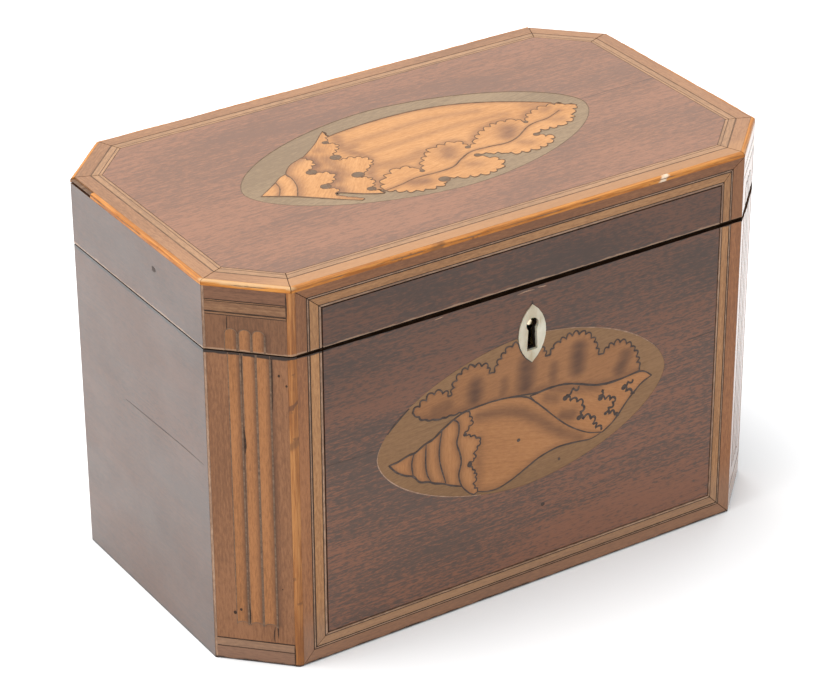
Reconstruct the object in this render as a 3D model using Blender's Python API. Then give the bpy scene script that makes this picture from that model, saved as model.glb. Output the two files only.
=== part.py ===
"""Tea caddy with canted corners: a hinged, locking mahogany box round two lidded, foil-lined compartments.

All sizes are millimetres and become metres when a mesh is made. Facing the front, +X is to the right, +Y
is away and +Z is up. Sizes are laid out about the case's own centre line, and case_frame moves the whole
caddy so that the centre of its outline, hinge knuckles included, stands on the world origin.
"""

from math import acos, cos, pi, sin, sqrt, tan

import bmesh
import bpy
from mathutils import Vector

MM = 0.001

# Driving dimensions of the closed caddy.
WIDTH = 190.0
DEPTH = 111.4
HEIGHT = 123.0
CANT = 17.8  # leg of each canted corner, along both faces
RIM_Z = 101.6  # top of the case
LID_Z = 102.0  # underside of the closed lid

# Timber thicknesses and the gaps that keep neighbours apart.
SKIN = 0.8  # veneer
WALL = 8.0  # case and lid boards
BOARD = 6.0  # bottom board and lid board
LINING = 3.0
GLUE = 0.1
BED = 0.05  # gap under a veneer
SLIP = 0.3  # running gap of the inner lids

# Borders of the inlaid faces.
ARRIS = 1.5  # boxwood stringing round the lid's top edge
BORDER = 9.4  # crossbanded border, from an edge to the field
RIGHT_BORDER = 7.8  # the same at the right end of the front
FOOT_BORDER = 8.7  # the same along the bottom of the front
TOP_BORDER = 8.7  # the same round the top of the lid
LID_OVAL = (59.0, 29.5)
FRONT_OVAL = (50.5, 25.0)
FRONT_OVAL_Z = 60.3
OVAL_POWER = 1.75  # just under 2, so the ovals come to a slight point

# Escutcheon and keyhole.
KEY_X = 2.3
ESCUTCHEON_Z = 85.6
ESCUTCHEON = (4.7, 9.4)
ESCUTCHEON_PROUD = 0.3
KEYHOLE_Z = 88.5
KEYHOLE_R = 2.15
KEYHOLE_FOOT = 3.7  # width of the leg at its foot
KEYHOLE_NECK = 3.0  # and where it meets the head
KEYHOLE_BOTTOM = 80.2
DRILL_PIN_R = 0.9
DRILL_PIN_DEPTH = 1.5  # its tip stands this far behind the face

# Inside of the case.
LEDGE_Z = 88.0
DIVIDER = 5.0
FOIL = 0.5
INNER_LID = 4.0
KNOB_TENON_R = 2.0

# Hinges.
HINGE_X = 55.0
HINGE_HALF = 14.0
HINGE_LEAF = 1.2
HINGE_INBOARD = 7.5
KNUCKLE_R = 2.2
KNUCKLE_OUT = 2.4  # hinge axis behind the back face
KNUCKLE_MIDDLE = 4.7  # half length of the lid's knuckle
PIN_R = 1.05
PIN_GAP = 0.08
SCREW_X = 9.0
SCREW_INBOARD = HINGE_INBOARD / 2 + 0.6
SCREW_HEAD_R = 2.2
SCREW_SHANK_R = 1.1
SCREW_LENGTH = 9.0

# Lock.
LOCK_HALF = 18.0
LOCK_BASE_Z = 77.6
LOCK_PLATE = 1.4  # thickness of the plate let into the rim
LOCK_PLATE_HALF = 23.0
LOCK_SKIN = 0.9
HOOK_X = 9.0
HOOK_HALF_Y = 1.8
HOOK_THICK = 1.6
HOOK_TIP_Z = 94.2
HOOK_ROOM = (0.7, 0.5)  # play of a hook in its slot, along X and Y
EYE = (3.0, 1.05, 1.1, 4.1)  # half length, half depth, foot and head of a hook's eye above its tip
LINK_HALF = 15.0
BOLT_HALF_Y = 0.7
BOLT_BAR = (91.6, 94.0)  # foot and head of the sliding bar
BOLT_FINGER = (95.7, 97.9)  # the same for its two fingers
FINGER_ROOT = 5.2  # from a hook's centre back to the finger's root
FINGER_TIP = 1.2  # from a hook's centre back to the finger's tip
FINGER_POST = 2.4  # width of the post that carries a finger
KEY_NOTCH = (1.6, 0.9)  # half width and height of the notch that the key's bit pushes
BEYOND = 5.0  # how far a cutter runs past the face it opens

HALF_DEPTH = DEPTH / 2
INNER = SKIN + WALL  # inset of the case's inside faces
CEILING_Z = HEIGHT - SKIN - BOARD
FRONT_HALF = WIDTH / 2 - CANT - SKIN * tan(pi / 8) - GLUE  # half width of the front's veneers
AXIS_Y = HALF_DEPTH + KNUCKLE_OUT
AXIS_Z = (RIM_Z + LID_Z) / 2
LOCK_Y = -HALF_DEPTH + INNER  # inside face of the front board
LOCK_FRONT_Y = LOCK_Y - 6.4
LOCK_CAP_Y = LOCK_FRONT_Y - 0.8  # front edge of the plate in the rim
HOOK_Y = LOCK_Y - 3.25
SHIFT_Y = (ESCUTCHEON_PROUD - KNUCKLE_OUT - KNUCKLE_R) / 2

# Sides of the octagon in plan, counted from the front and going round by the right.
FRONT, FRONT_RIGHT, RIGHT, BACK_RIGHT, BACK, BACK_LEFT, LEFT, FRONT_LEFT = range(8)

COLOURS = {
    "mahogany": ((0.20, 0.075, 0.04), 0.35, 0.0),
    "carcase_mahogany": ((0.25, 0.11, 0.06), 0.55, 0.0),
    "crossbanding": ((0.30, 0.12, 0.06), 0.35, 0.0),
    "boxwood": ((0.58, 0.28, 0.08), 0.35, 0.0),
    "marquetry": ((0.42, 0.22, 0.09), 0.35, 0.0),
    "bone": ((0.74, 0.70, 0.58), 0.4, 0.0),
    "brass": ((0.78, 0.56, 0.22), 0.3, 1.0),
    "steel": ((0.45, 0.44, 0.42), 0.4, 1.0),
    "lead_foil": ((0.42, 0.42, 0.43), 0.5, 0.9),
}


# Plan outlines ------------------------------------------------------------------------------------

def side_lines():
    """Outward direction and distance from the centre of each side of the caddy's outline."""
    slant = 1 / sqrt(2)
    corner = (WIDTH / 2 + HALF_DEPTH - CANT) * slant
    half_turn = [(0, -1), (slant, -slant), (1, 0), (slant, slant)]
    directions = half_turn + [(-x, -y) for x, y in half_turn]
    distances = [HALF_DEPTH, corner, WIDTH / 2, corner] * 2
    return list(zip(directions, distances))


def corner_point(side, first, second):
    """Where one side's line, set in by first, meets the next side's line, set in by second."""
    lines = side_lines()
    (ax, ay), a = lines[side]
    (bx, by), b = lines[(side + 1) % 8]
    a -= first
    b -= second
    turn = ax * by - ay * bx
    return ((a * by - b * ay) / turn, (b * ax - a * bx) / turn)


def outline(inset, back_corners=None):
    """The octagon set in from the caddy's faces, from the front's left end. back_corners may differ."""
    insets = [inset] * 8
    if back_corners is not None:
        insets[BACK_RIGHT] = back_corners
        insets[BACK_LEFT] = back_corners
    return [corner_point(side - 1, insets[side - 1], insets[side]) for side in range(8)]


def stave(side, outer, inner):
    """A strip along one side between two insets, mitred at both ends and drawn in by half a glue line."""
    outside = [corner_point(side - 1, outer, outer), corner_point(side, outer, outer)]
    inside = [corner_point(side, inner, inner), corner_point(side - 1, inner, inner)]
    (ax, ay), (bx, by) = outside
    along = Vector((bx - ax, by - ay)).normalized() * GLUE / 2
    ends = [along, -along, -along, along]
    return [(x + end.x, y + end.y) for (x, y), end in zip(outside + inside, ends)]


def half_outline(inset, middle, side):
    """One half of the octagon, from the middle out to the left (side -1) or the right (side 1)."""
    right = [point for point in outline(inset) if point[0] > 0]
    right.sort(key=lambda point: point[1])
    low = (middle, right[0][1])
    high = (middle, right[-1][1])
    return [(side * x, y) for x, y in [low] + right + [high]]


def oval(half_width, half_height, centre=(0.0, 0.0), steps=56):
    """A slightly pointed oval."""
    points = []
    for step in range(steps):
        turn = 2 * pi * step / steps
        x = half_width * abs(cos(turn)) ** (2 / OVAL_POWER) * (1 if cos(turn) > 0 else -1)
        y = half_height * abs(sin(turn)) ** (2 / OVAL_POWER) * (1 if sin(turn) > 0 else -1)
        points.append((centre[0] + x, centre[1] + y))
    return points


def navette(grow=0.0, steps=10):
    """The escutcheon's outline: two arcs that meet in a point above and below."""
    half_width, half_height = ESCUTCHEON
    half_width += grow
    half_height += grow
    radius = (half_width ** 2 + half_height ** 2) / (2 * half_width)
    points = []
    for side in (1, -1):
        for step in range(steps):
            height = side * half_height * (2 * step / steps - 1)
            reach = sqrt(radius ** 2 - height ** 2) - radius + half_width
            points.append((KEY_X + side * reach, ESCUTCHEON_Z + height))
    return points


def keyhole(grow=0.0, steps=14):
    """A round head over a leg that widens downwards."""
    radius = KEYHOLE_R + grow
    half_foot = KEYHOLE_FOOT / 2 + grow
    half_neck = KEYHOLE_NECK / 2 + grow
    points = [(KEY_X - half_foot, KEYHOLE_BOTTOM - grow), (KEY_X + half_foot, KEYHOLE_BOTTOM - grow)]
    first = -acos(half_neck / radius)
    sweep = pi - 2 * first
    for step in range(steps + 1):
        turn = first + sweep * step / steps
        points.append((KEY_X + radius * cos(turn), KEYHOLE_Z + radius * sin(turn)))
    return points


def rectangle(x_low, x_high, y_low, y_high):
    return [(x_low, y_low), (x_high, y_low), (x_high, y_high), (x_low, y_high)]


# Solids -------------------------------------------------------------------------------------------

def plate(shape, low, high, upright=False, holes=()):
    """An outline with holes, extruded upwards from low to high, or from front to back if upright."""
    bm = bmesh.new()
    for loop in [shape, *holes]:
        ends = [bm.verts.new((x, low, y) if upright else (x, y, low)) for x, y in loop]
        for here, there in zip(ends, ends[1:] + ends[:1]):
            bm.edges.new((here, there))
    bmesh.ops.triangle_fill(bm, edges=bm.edges[:], use_beauty=True)
    extruded = bmesh.ops.extrude_face_region(bm, geom=bm.faces[:])
    lift = (0, high - low, 0) if upright else (0, 0, high - low)
    moved = [item for item in extruded["geom"] if isinstance(item, bmesh.types.BMVert)]
    bmesh.ops.translate(bm, vec=lift, verts=moved)
    bmesh.ops.recalc_face_normals(bm, faces=bm.faces[:])
    return bm


def block(x_low, x_high, y_low, y_high, z_low, z_high):
    return plate(rectangle(x_low, x_high, y_low, y_high), z_low, z_high)


def tower(layers, closed=False):
    """Loops of equal length joined in order, with end caps unless the last one joins the first."""
    bm = bmesh.new()
    rings = [[bm.verts.new(point) for point in layer] for layer in layers]
    pairs = list(zip(rings, rings[1:]))
    if closed:
        pairs.append((rings[-1], rings[0]))
    for below, above in pairs:
        count = len(below)
        for i in range(count):
            j = (i + 1) % count
            bm.faces.new((below[i], below[j], above[j], above[i]))
    if not closed:
        bm.faces.new(rings[0])
        bm.faces.new(rings[-1])
    bmesh.ops.recalc_face_normals(bm, faces=bm.faces[:])
    return bm


def level(points, z):
    return [(x, y, z) for x, y in points]


def octagon_ring(section):
    """A ring round the caddy with the given section: points of inset and height, in order."""
    return tower([level(outline(inset), z) for inset, z in section], closed=True)


def tray(outer, inner, z_low, z_floor, z_top):
    """An open box with thin walls."""
    layers = [level(inner, z_floor), level(inner, z_top), level(outer, z_top), level(outer, z_low)]
    return tower(layers)


def turned(profile, x, y, steps=24):
    """A solid of revolution about a vertical axis. profile holds radius and height, from top to bottom."""
    layers = []
    for radius, z in profile:
        turns = [2 * pi * step / steps for step in range(steps)]
        layers.append([(x + radius * cos(turn), y + radius * sin(turn), z) for turn in turns])
    return tower(layers)


def rod(x_low, x_high, radius, y, z, steps=24):
    """A round bar along X."""
    layers = []
    for x in (x_low, x_high):
        turns = [2 * pi * step / steps for step in range(steps)]
        layers.append([(x, y + radius * cos(turn), z + radius * sin(turn)) for turn in turns])
    return tower(layers)


def spur(y_low, y_high, radius, x, z, steps=16):
    """A round bar along Y."""
    layers = []
    for y in (y_low, y_high):
        turns = [2 * pi * step / steps for step in range(steps)]
        layers.append([(x + radius * cos(turn), y, z + radius * sin(turn)) for turn in turns])
    return tower(layers)


# Objects ------------------------------------------------------------------------------------------

def clear_scene():
    for obj in list(bpy.data.objects):
        bpy.data.objects.remove(obj)


def make_material(name):
    colour, roughness, metallic = COLOURS[name]
    material = bpy.data.materials.new(name)
    material.use_nodes = True
    shader = material.node_tree.nodes["Principled BSDF"]
    shader.inputs["Base Color"].default_value = (*colour, 1)
    shader.inputs["Roughness"].default_value = roughness
    shader.inputs["Metallic"].default_value = metallic
    material.diffuse_color = (*colour, 1)
    return material


class Pivot:
    """An empty that carries the pieces of one moving group. at is its place on the caddy."""

    def __init__(self, name, at, parent=None):
        self.at = Vector(at)
        self.empty = bpy.data.objects.new(name, None)
        bpy.context.scene.collection.objects.link(self.empty)
        self.empty.empty_display_size = 10 * MM
        self.empty.parent = parent.empty if parent else None
        start = parent.at if parent else Vector()
        self.empty.location = (self.at - start) * MM


def add(name, bm, colour, pivot, smooth=False):
    """Turns a shape laid out in millimetres about the case's centre into an object carried by its pivot."""
    bmesh.ops.translate(bm, vec=-pivot.at, verts=bm.verts[:])
    bmesh.ops.scale(bm, vec=(MM, MM, MM), verts=bm.verts[:])
    mesh = bpy.data.meshes.new(name)
    bm.to_mesh(mesh)
    bm.free()
    if smooth:
        mesh.shade_smooth()
        mesh.set_sharp_from_angle(angle=pi / 5)
    obj = bpy.data.objects.new(name, mesh)
    obj.parent = pivot.empty
    bpy.context.scene.collection.objects.link(obj)
    if colour:
        mesh.materials.append(materials[colour])
    return obj


def add_tool(name, bm, pivot):
    """A shape that only cuts or joins others."""
    tool = add(name, bm, None, pivot)
    tool.hide_render = True
    tool.display_type = "WIRE"
    return tool


def combine(obj, operation, *tools):
    for tool in tools:
        modifier = obj.modifiers.new(f"{operation.lower()}_{tool.name}", "BOOLEAN")
        modifier.operation = operation
        modifier.solver = "EXACT"
        modifier.object = tool


# Case ---------------------------------------------------------------------------------------------

def make_case_boards():
    """Bottom board, four boards and four corner posts. The back posts are solid to the outside."""
    top = RIM_Z - GLUE
    foot = BOARD + GLUE
    add("bottom_board", plate(outline(SKIN + BED, back_corners=BED), 0, BOARD), "carcase_mahogany", case)
    boards = {
        "front_board": FRONT,
        "right_board": RIGHT,
        "back_board": BACK,
        "left_board": LEFT,
        "corner_post_front_left": FRONT_LEFT,
        "corner_post_front_right": FRONT_RIGHT,
    }
    for name, side in boards.items():
        add(name, plate(stave(side, SKIN + BED, INNER), foot, top), "carcase_mahogany", case)
    for name, side in {"corner_post_back_left": BACK_LEFT, "corner_post_back_right": BACK_RIGHT}.items():
        add(name, plate(stave(side, 0, INNER), foot, top), "mahogany", case)


def make_case_veneers():
    """Plain mahogany on the sides and the back."""
    for name, side in {"left_veneer": LEFT, "right_veneer": RIGHT, "back_veneer": BACK}.items():
        add(name, plate(stave(side, 0, SKIN), GLUE, RIM_Z), "mahogany", case)


def front_plate(shape):
    """A veneer of the front face."""
    return plate(shape, -HALF_DEPTH, -HALF_DEPTH + SKIN, upright=True)


def make_case_front():
    """Field, border, shell oval and escutcheon of the front, and the fluted front corners."""
    half = FRONT_HALF
    left = BORDER - half
    right = half - RIGHT_BORDER
    foot = GLUE + FOOT_BORDER
    veneer = front_plate(rectangle(left + BED, right - BED, foot + BED, RIM_Z))
    front_veneer = add("front_veneer", veneer, "mahogany", case)
    combine(front_veneer, "DIFFERENCE", oval_cutter, escutcheon_cutter)
    border = [
        (-half, GLUE),
        (half, GLUE),
        (half, RIM_Z),
        (right, RIM_Z),
        (right, foot),
        (left, foot),
        (left, RIM_Z),
        (-half, RIM_Z),
    ]
    add("front_banding", front_plate(border), "crossbanding", case)
    patera = add("front_patera", front_plate(oval(*FRONT_OVAL, centre=(0, FRONT_OVAL_Z))), "marquetry", case)
    combine(patera, "DIFFERENCE", escutcheon_cutter)
    face = -HALF_DEPTH - ESCUTCHEON_PROUD
    bone = plate(navette(), face, -HALF_DEPTH + SKIN, upright=True, holes=[keyhole()])
    add("escutcheon", bone, "bone", case)
    for name, side in {"fluted_corner_left": FRONT_LEFT, "fluted_corner_right": FRONT_RIGHT}.items():
        add(name, plate(stave(side, 0, SKIN), GLUE, RIM_Z), "crossbanding", case)


def make_compartments():
    """Ledge lining round the inside, the divider between the compartments and their foil boxes."""
    lined = INNER + GLUE
    foot = BOARD + GLUE
    inside = lined + LINING
    section = [(lined, foot), (lined, LEDGE_Z), (inside, LEDGE_Z), (inside, foot)]
    add("inner_lining", octagon_ring(section), "carcase_mahogany", case)
    reach = HALF_DEPTH - inside - GLUE
    add("divider", block(-DIVIDER / 2, DIVIDER / 2, -reach, reach, foot, LEDGE_Z), "carcase_mahogany", case)
    for name, side in {"foil_box_left": -1, "foil_box_right": 1}.items():
        outer = half_outline(inside + GLUE, DIVIDER / 2 + GLUE, side)
        inner = half_outline(inside + GLUE + FOIL, DIVIDER / 2 + GLUE + FOIL, side)
        foil = tray(outer, inner, foot, foot + FOIL, LEDGE_Z - FOIL)
        add(name, foil, "lead_foil", case)


def knob_profile(base):
    """A turned button on a waisted neck, with a tenon that goes into the inner lid."""
    return [
        (1.2, base + 9.0),
        (2.6, base + 8.8),
        (4.2, base + 8.0),
        (5.2, base + 6.6),
        (5.0, base + 5.2),
        (3.6, base + 4.0),
        (2.4, base + 3.0),
        (2.5, base + 2.2),
        (3.8, base + 1.2),
        (4.6, base + 0.6),
        (4.6, base + GLUE),
        (KNOB_TENON_R, base + GLUE),
        (KNOB_TENON_R, base - INNER_LID + SLIP),
    ]


def make_inner_lids():
    """Two loose lids that lie on the ledge, each with its knob."""
    base = LEDGE_Z + BED
    for name, side, pivot in (("left", -1, left_lift), ("right", 1, right_lift)):
        shape = half_outline(INNER + SLIP, SLIP, side)
        middle = pivot.at.x
        hole = [(middle + x, y) for x, y in tenon_hole()]
        add(f"inner_lid_{name}", plate(shape, base, base + INNER_LID, holes=[hole]), "mahogany", pivot)
        knob = turned(knob_profile(base + INNER_LID), middle, 0)
        add(f"inner_lid_knob_{name}", knob, "bone", pivot, smooth=True)


def tenon_hole(steps=20):
    """The round hole that takes a knob's tenon."""
    radius = KNOB_TENON_R + GLUE
    turns = [2 * pi * step / steps for step in range(steps)]
    return [(radius * cos(turn), radius * sin(turn)) for turn in turns]


# Lid ----------------------------------------------------------------------------------------------

def make_lid_boards():
    """Lid board rebated for the arris stringing, four rails, four corner blocks and the lining board."""
    rebate = HEIGHT - ARRIS - GLUE
    deck = HEIGHT - SKIN - BED
    wide = outline(SKIN + BED, back_corners=BED)
    narrow = outline(ARRIS + GLUE)
    layers = [level(wide, CEILING_Z), level(wide, rebate), level(narrow, rebate), level(narrow, deck)]
    add("lid_board", tower(layers), "carcase_mahogany", lid)
    boards = {
        "lid_front_rail": (FRONT, SKIN + BED),
        "lid_right_rail": (RIGHT, SKIN + BED),
        "lid_back_rail": (BACK, SKIN + BED),
        "lid_left_rail": (LEFT, SKIN + BED),
        "lid_corner_front_left": (FRONT_LEFT, SKIN + BED),
        "lid_corner_front_right": (FRONT_RIGHT, SKIN + BED),
        "lid_corner_back_left": (BACK_LEFT, 0),
        "lid_corner_back_right": (BACK_RIGHT, 0),
    }
    for name, (side, outer) in boards.items():
        shape = stave(side, outer, INNER)
        add(name, plate(shape, LID_Z, CEILING_Z - GLUE), "carcase_mahogany", lid)
    lining = plate(outline(INNER + GLUE), CEILING_Z - 1.0, CEILING_Z - GLUE)
    add("lid_lining", lining, "mahogany", lid)


def make_lid_sides():
    """Veneers, border and fluted corners round the lid's sides."""
    top = HEIGHT - ARRIS - BED
    half = FRONT_HALF
    left = BORDER - half
    right = half - RIGHT_BORDER
    head = HEIGHT - TOP_BORDER
    for name, side in {"lid_left_veneer": LEFT, "lid_right_veneer": RIGHT, "lid_back_veneer": BACK}.items():
        add(name, plate(stave(side, 0, SKIN), LID_Z, top), "mahogany", lid)
    veneer = front_plate(rectangle(left + BED, right - BED, LID_Z, head - BED))
    add("lid_front_veneer", veneer, "mahogany", lid)
    border = [
        (-half, LID_Z),
        (left, LID_Z),
        (left, head),
        (right, head),
        (right, LID_Z),
        (half, LID_Z),
        (half, top),
        (-half, top),
    ]
    add("lid_front_banding", front_plate(border), "crossbanding", lid)
    for name, side in {"lid_fluted_corner_left": FRONT_LEFT, "lid_fluted_corner_right": FRONT_RIGHT}.items():
        add(name, plate(stave(side, 0, SKIN), LID_Z, top), "crossbanding", lid)


def make_lid_top():
    """Field, shell oval, border and arris stringing of the lid's top."""
    low = HEIGHT - SKIN
    half_width, half_height = LID_OVAL
    hole = oval(half_width + BED, half_height + BED)
    add("lid_veneer", plate(outline(TOP_BORDER), low, HEIGHT, holes=[hole]), "mahogany", lid)
    add("lid_patera", plate(oval(half_width, half_height), low, HEIGHT), "marquetry", lid)
    edge = ARRIS + BED
    field = TOP_BORDER - BED
    border = [(edge, low), (edge, HEIGHT), (field, HEIGHT), (field, low)]
    add("lid_banding", octagon_ring(border), "crossbanding", lid)
    base = HEIGHT - ARRIS
    worn = 0.5
    stringing = [
        (0, base),
        (0, HEIGHT - 2 * worn),
        (worn / 4, HEIGHT - worn),
        (worn, HEIGHT - worn / 4),
        (2 * worn, HEIGHT),
        (ARRIS, HEIGHT),
        (ARRIS, base),
    ]
    add("lid_edge_stringing", octagon_ring(stringing), "boxwood", lid)


# Hinges -------------------------------------------------------------------------------------------

def hinge_leaf(name, x, z_low, z_high, knuckles, pivot):
    """A leaf let into a board's edge, and its knuckles. knuckles holds their ends along the pin."""
    face = HALF_DEPTH + BED
    leaf = block(x - HINGE_HALF, x + HINGE_HALF, HALF_DEPTH - HINGE_INBOARD, face, z_low, z_high)
    obj = add(name, leaf, "brass", pivot)
    for number, (start, end) in enumerate(knuckles):
        web = block(x + start, x + end, HALF_DEPTH - 0.5, AXIS_Y, z_low, z_high)
        barrel = rod(x + start, x + end, KNUCKLE_R, AXIS_Y, AXIS_Z)
        combine(obj, "UNION", add_tool(f"{name}_web_{number}", web, pivot))
        combine(obj, "UNION", add_tool(f"{name}_barrel_{number}", barrel, pivot))
    bore = rod(x - HINGE_HALF - 2, x + HINGE_HALF + 2, PIN_R + PIN_GAP, AXIS_Y, AXIS_Z)
    combine(obj, "DIFFERENCE", add_tool(f"{name}_bore", bore, pivot))
    return obj


def recess(x, z_low, z_high, pivot, name):
    """The housing cut in the back edge for a leaf."""
    shape = block(
        x - HINGE_HALF - GLUE,
        x + HINGE_HALF + GLUE,
        HALF_DEPTH - HINGE_INBOARD - GLUE,
        HALF_DEPTH + BEYOND,
        z_low,
        z_high,
    )
    return add_tool(name, shape, pivot)


def screw_profile(grow):
    """A countersunk screw: flat head, cone and shank. grow turns it into its hole."""
    top = RIM_Z - BED + 2 * grow
    rim = RIM_Z - 0.25
    neck = rim - (SCREW_HEAD_R - SCREW_SHANK_R) + 0.15
    return [
        (SCREW_HEAD_R + grow, top),
        (SCREW_HEAD_R + grow, rim),
        (SCREW_SHANK_R + grow, neck),
        (SCREW_SHANK_R + grow, RIM_Z - SCREW_LENGTH - grow),
    ]


def make_hinges():
    """Two butt hinges: the case's leaf has the outer knuckles, the lid's the middle one."""
    objects = bpy.data.objects
    outer = [(-HINGE_HALF, -KNUCKLE_MIDDLE - GLUE), (KNUCKLE_MIDDLE + GLUE, HINGE_HALF)]
    middle = [(-KNUCKLE_MIDDLE, KNUCKLE_MIDDLE)]
    for side, x in (("left", -HINGE_X), ("right", HINGE_X)):
        low = recess(x, RIM_Z - HINGE_LEAF - GLUE, RIM_Z + BEYOND, case, f"case_recess_{side}")
        combine(objects["back_board"], "DIFFERENCE", low)
        combine(objects["back_veneer"], "DIFFERENCE", low)
        high = recess(x, LID_Z - BEYOND, LID_Z + HINGE_LEAF + GLUE, lid, f"lid_recess_{side}")
        combine(objects["lid_back_rail"], "DIFFERENCE", high)
        combine(objects["lid_back_veneer"], "DIFFERENCE", high)
        case_leaf = hinge_leaf(f"hinge_case_leaf_{side}", x, RIM_Z - HINGE_LEAF, RIM_Z, outer, case)
        hinge_leaf(f"hinge_lid_leaf_{side}", x, LID_Z, LID_Z + HINGE_LEAF, middle, lid)
        pin = rod(x - HINGE_HALF - 0.2, x + HINGE_HALF + 0.2, PIN_R, AXIS_Y, AXIS_Z)
        add(f"hinge_pin_{side}", pin, "brass", case, smooth=True)
        for number, offset in enumerate((-SCREW_X, SCREW_X), start=1):
            y = HALF_DEPTH - SCREW_INBOARD
            clearance = turned(screw_profile(GLUE), x + offset, y, 16)
            hole = add_tool(f"screw_hole_{side}_{number}", clearance, case)
            combine(case_leaf, "DIFFERENCE", hole)
            combine(objects["back_board"], "DIFFERENCE", hole)
            screw = turned(screw_profile(0), x + offset, y, 16)
            add(f"hinge_screw_{side}_{number}", screw, "brass", case)


# Lock ---------------------------------------------------------------------------------------------

def make_lock_housing():
    """Cuts the lock's room in the front board, and the keyhole through it and the shell oval."""
    front_board = bpy.data.objects["front_board"]
    pocket = block(
        -LOCK_HALF - GLUE,
        LOCK_HALF + GLUE,
        LOCK_FRONT_Y - GLUE,
        LOCK_Y + BEYOND,
        LOCK_BASE_Z - GLUE,
        RIM_Z + BEYOND,
    )
    seat = block(
        -LOCK_PLATE_HALF - GLUE,
        LOCK_PLATE_HALF + GLUE,
        LOCK_CAP_Y - GLUE,
        LOCK_Y + BEYOND,
        RIM_Z - LOCK_PLATE - GLUE,
        RIM_Z + BEYOND,
    )
    combine(front_board, "DIFFERENCE", add_tool("lock_pocket", pocket, case))
    combine(front_board, "DIFFERENCE", add_tool("lock_seat", seat, case))
    combine(front_board, "DIFFERENCE", keyhole_cutter)


def make_lock_case():
    """A brass box with a rim plate, two slots for the hooks, a keyhole and the pin that the key turns on."""
    back = LOCK_Y - GLUE
    body = block(-LOCK_HALF, LOCK_HALF, LOCK_FRONT_Y, back, LOCK_BASE_Z, RIM_Z - LOCK_PLATE / 2)
    obj = add("lock_case", body, "brass", case)
    cap = block(-LOCK_PLATE_HALF, LOCK_PLATE_HALF, LOCK_CAP_Y, back, RIM_Z - LOCK_PLATE, RIM_Z)
    hollow = block(
        -LOCK_HALF + LOCK_SKIN,
        LOCK_HALF - LOCK_SKIN,
        LOCK_FRONT_Y + LOCK_SKIN,
        back - LOCK_SKIN,
        LOCK_BASE_Z + LOCK_SKIN,
        RIM_Z - LOCK_PLATE,
    )
    combine(obj, "UNION", add_tool("lock_cap", cap, case))
    combine(obj, "DIFFERENCE", add_tool("lock_hollow", hollow, case))
    half_x = HOOK_THICK / 2 + HOOK_ROOM[0]
    half_y = HOOK_HALF_Y + HOOK_ROOM[1]
    for number, x in enumerate((-HOOK_X, HOOK_X)):
        y_low, y_high = HOOK_Y - half_y, HOOK_Y + half_y
        slot = block(x - half_x, x + half_x, y_low, y_high, RIM_Z - LOCK_PLATE - 1, RIM_Z + 1)
        combine(obj, "DIFFERENCE", add_tool(f"hook_slot_{number}", slot, case))
    combine(obj, "DIFFERENCE", keyhole_cutter)
    pin = spur(DRILL_PIN_DEPTH - HALF_DEPTH, back - LOCK_SKIN / 2, DRILL_PIN_R, KEY_X, KEYHOLE_Z)
    combine(obj, "UNION", add_tool("drill_pin", pin, case))


def make_lock_bolt():
    """A bar with two fingers that slide into the hooks' eyes, and a notch where the key's bit pushes it."""
    bar_low, bar_high = BOLT_BAR
    finger_low, finger_high = BOLT_FINGER
    notch_half, notch_height = KEY_NOTCH
    left = -HOOK_X - FINGER_ROOT
    right = HOOK_X - FINGER_ROOT
    shape = [
        (left - FINGER_POST, bar_low),
        (KEY_X - notch_half, bar_low),
        (KEY_X - notch_half, bar_low + notch_height),
        (KEY_X + notch_half, bar_low + notch_height),
        (KEY_X + notch_half, bar_low),
        (right, bar_low),
        (right, finger_low),
        (HOOK_X - FINGER_TIP, finger_low),
        (HOOK_X - FINGER_TIP, finger_high),
        (right - FINGER_POST, finger_high),
        (right - FINGER_POST, bar_high),
        (left, bar_high),
        (left, finger_low),
        (-HOOK_X - FINGER_TIP, finger_low),
        (-HOOK_X - FINGER_TIP, finger_high),
        (left - FINGER_POST, finger_high),
    ]
    bolt = plate(shape, HOOK_Y - BOLT_HALF_Y, HOOK_Y + BOLT_HALF_Y, upright=True)
    add("lock_bolt", bolt, "steel", bolt_slide)


def make_link_plate():
    """The plate under the lid's front rail, with two eyed hooks that drop into the lock."""
    front = LOCK_FRONT_Y - 0.4
    back = LOCK_Y - 2 * GLUE
    plate_top = LID_Z + HINGE_LEAF
    housing = block(
        -LINK_HALF - GLUE,
        LINK_HALF + GLUE,
        front - GLUE,
        back + GLUE,
        LID_Z - BEYOND,
        plate_top + GLUE,
    )
    combine(bpy.data.objects["lid_front_rail"], "DIFFERENCE", add_tool("link_housing", housing, lid))
    obj = add("lock_link_plate", block(-LINK_HALF, LINK_HALF, front, back, LID_Z, plate_top), "brass", lid)
    thick = HOOK_THICK / 2
    eye_x, eye_y, eye_foot, eye_head = EYE
    low = HOOK_TIP_Z + eye_foot
    high = HOOK_TIP_Z + eye_head
    for number, x in enumerate((-HOOK_X, HOOK_X)):
        y_low, y_high = HOOK_Y - HOOK_HALF_Y, HOOK_Y + HOOK_HALF_Y
        hook = block(x - thick, x + thick, y_low, y_high, HOOK_TIP_Z, LID_Z + HINGE_LEAF / 2)
        eye = block(x - eye_x, x + eye_x, HOOK_Y - eye_y, HOOK_Y + eye_y, low, high)
        combine(obj, "UNION", add_tool(f"hook_{number}", hook, lid))
        combine(obj, "DIFFERENCE", add_tool(f"eye_{number}", eye, lid))


clear_scene()
materials = {name: make_material(name) for name in COLOURS}

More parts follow.
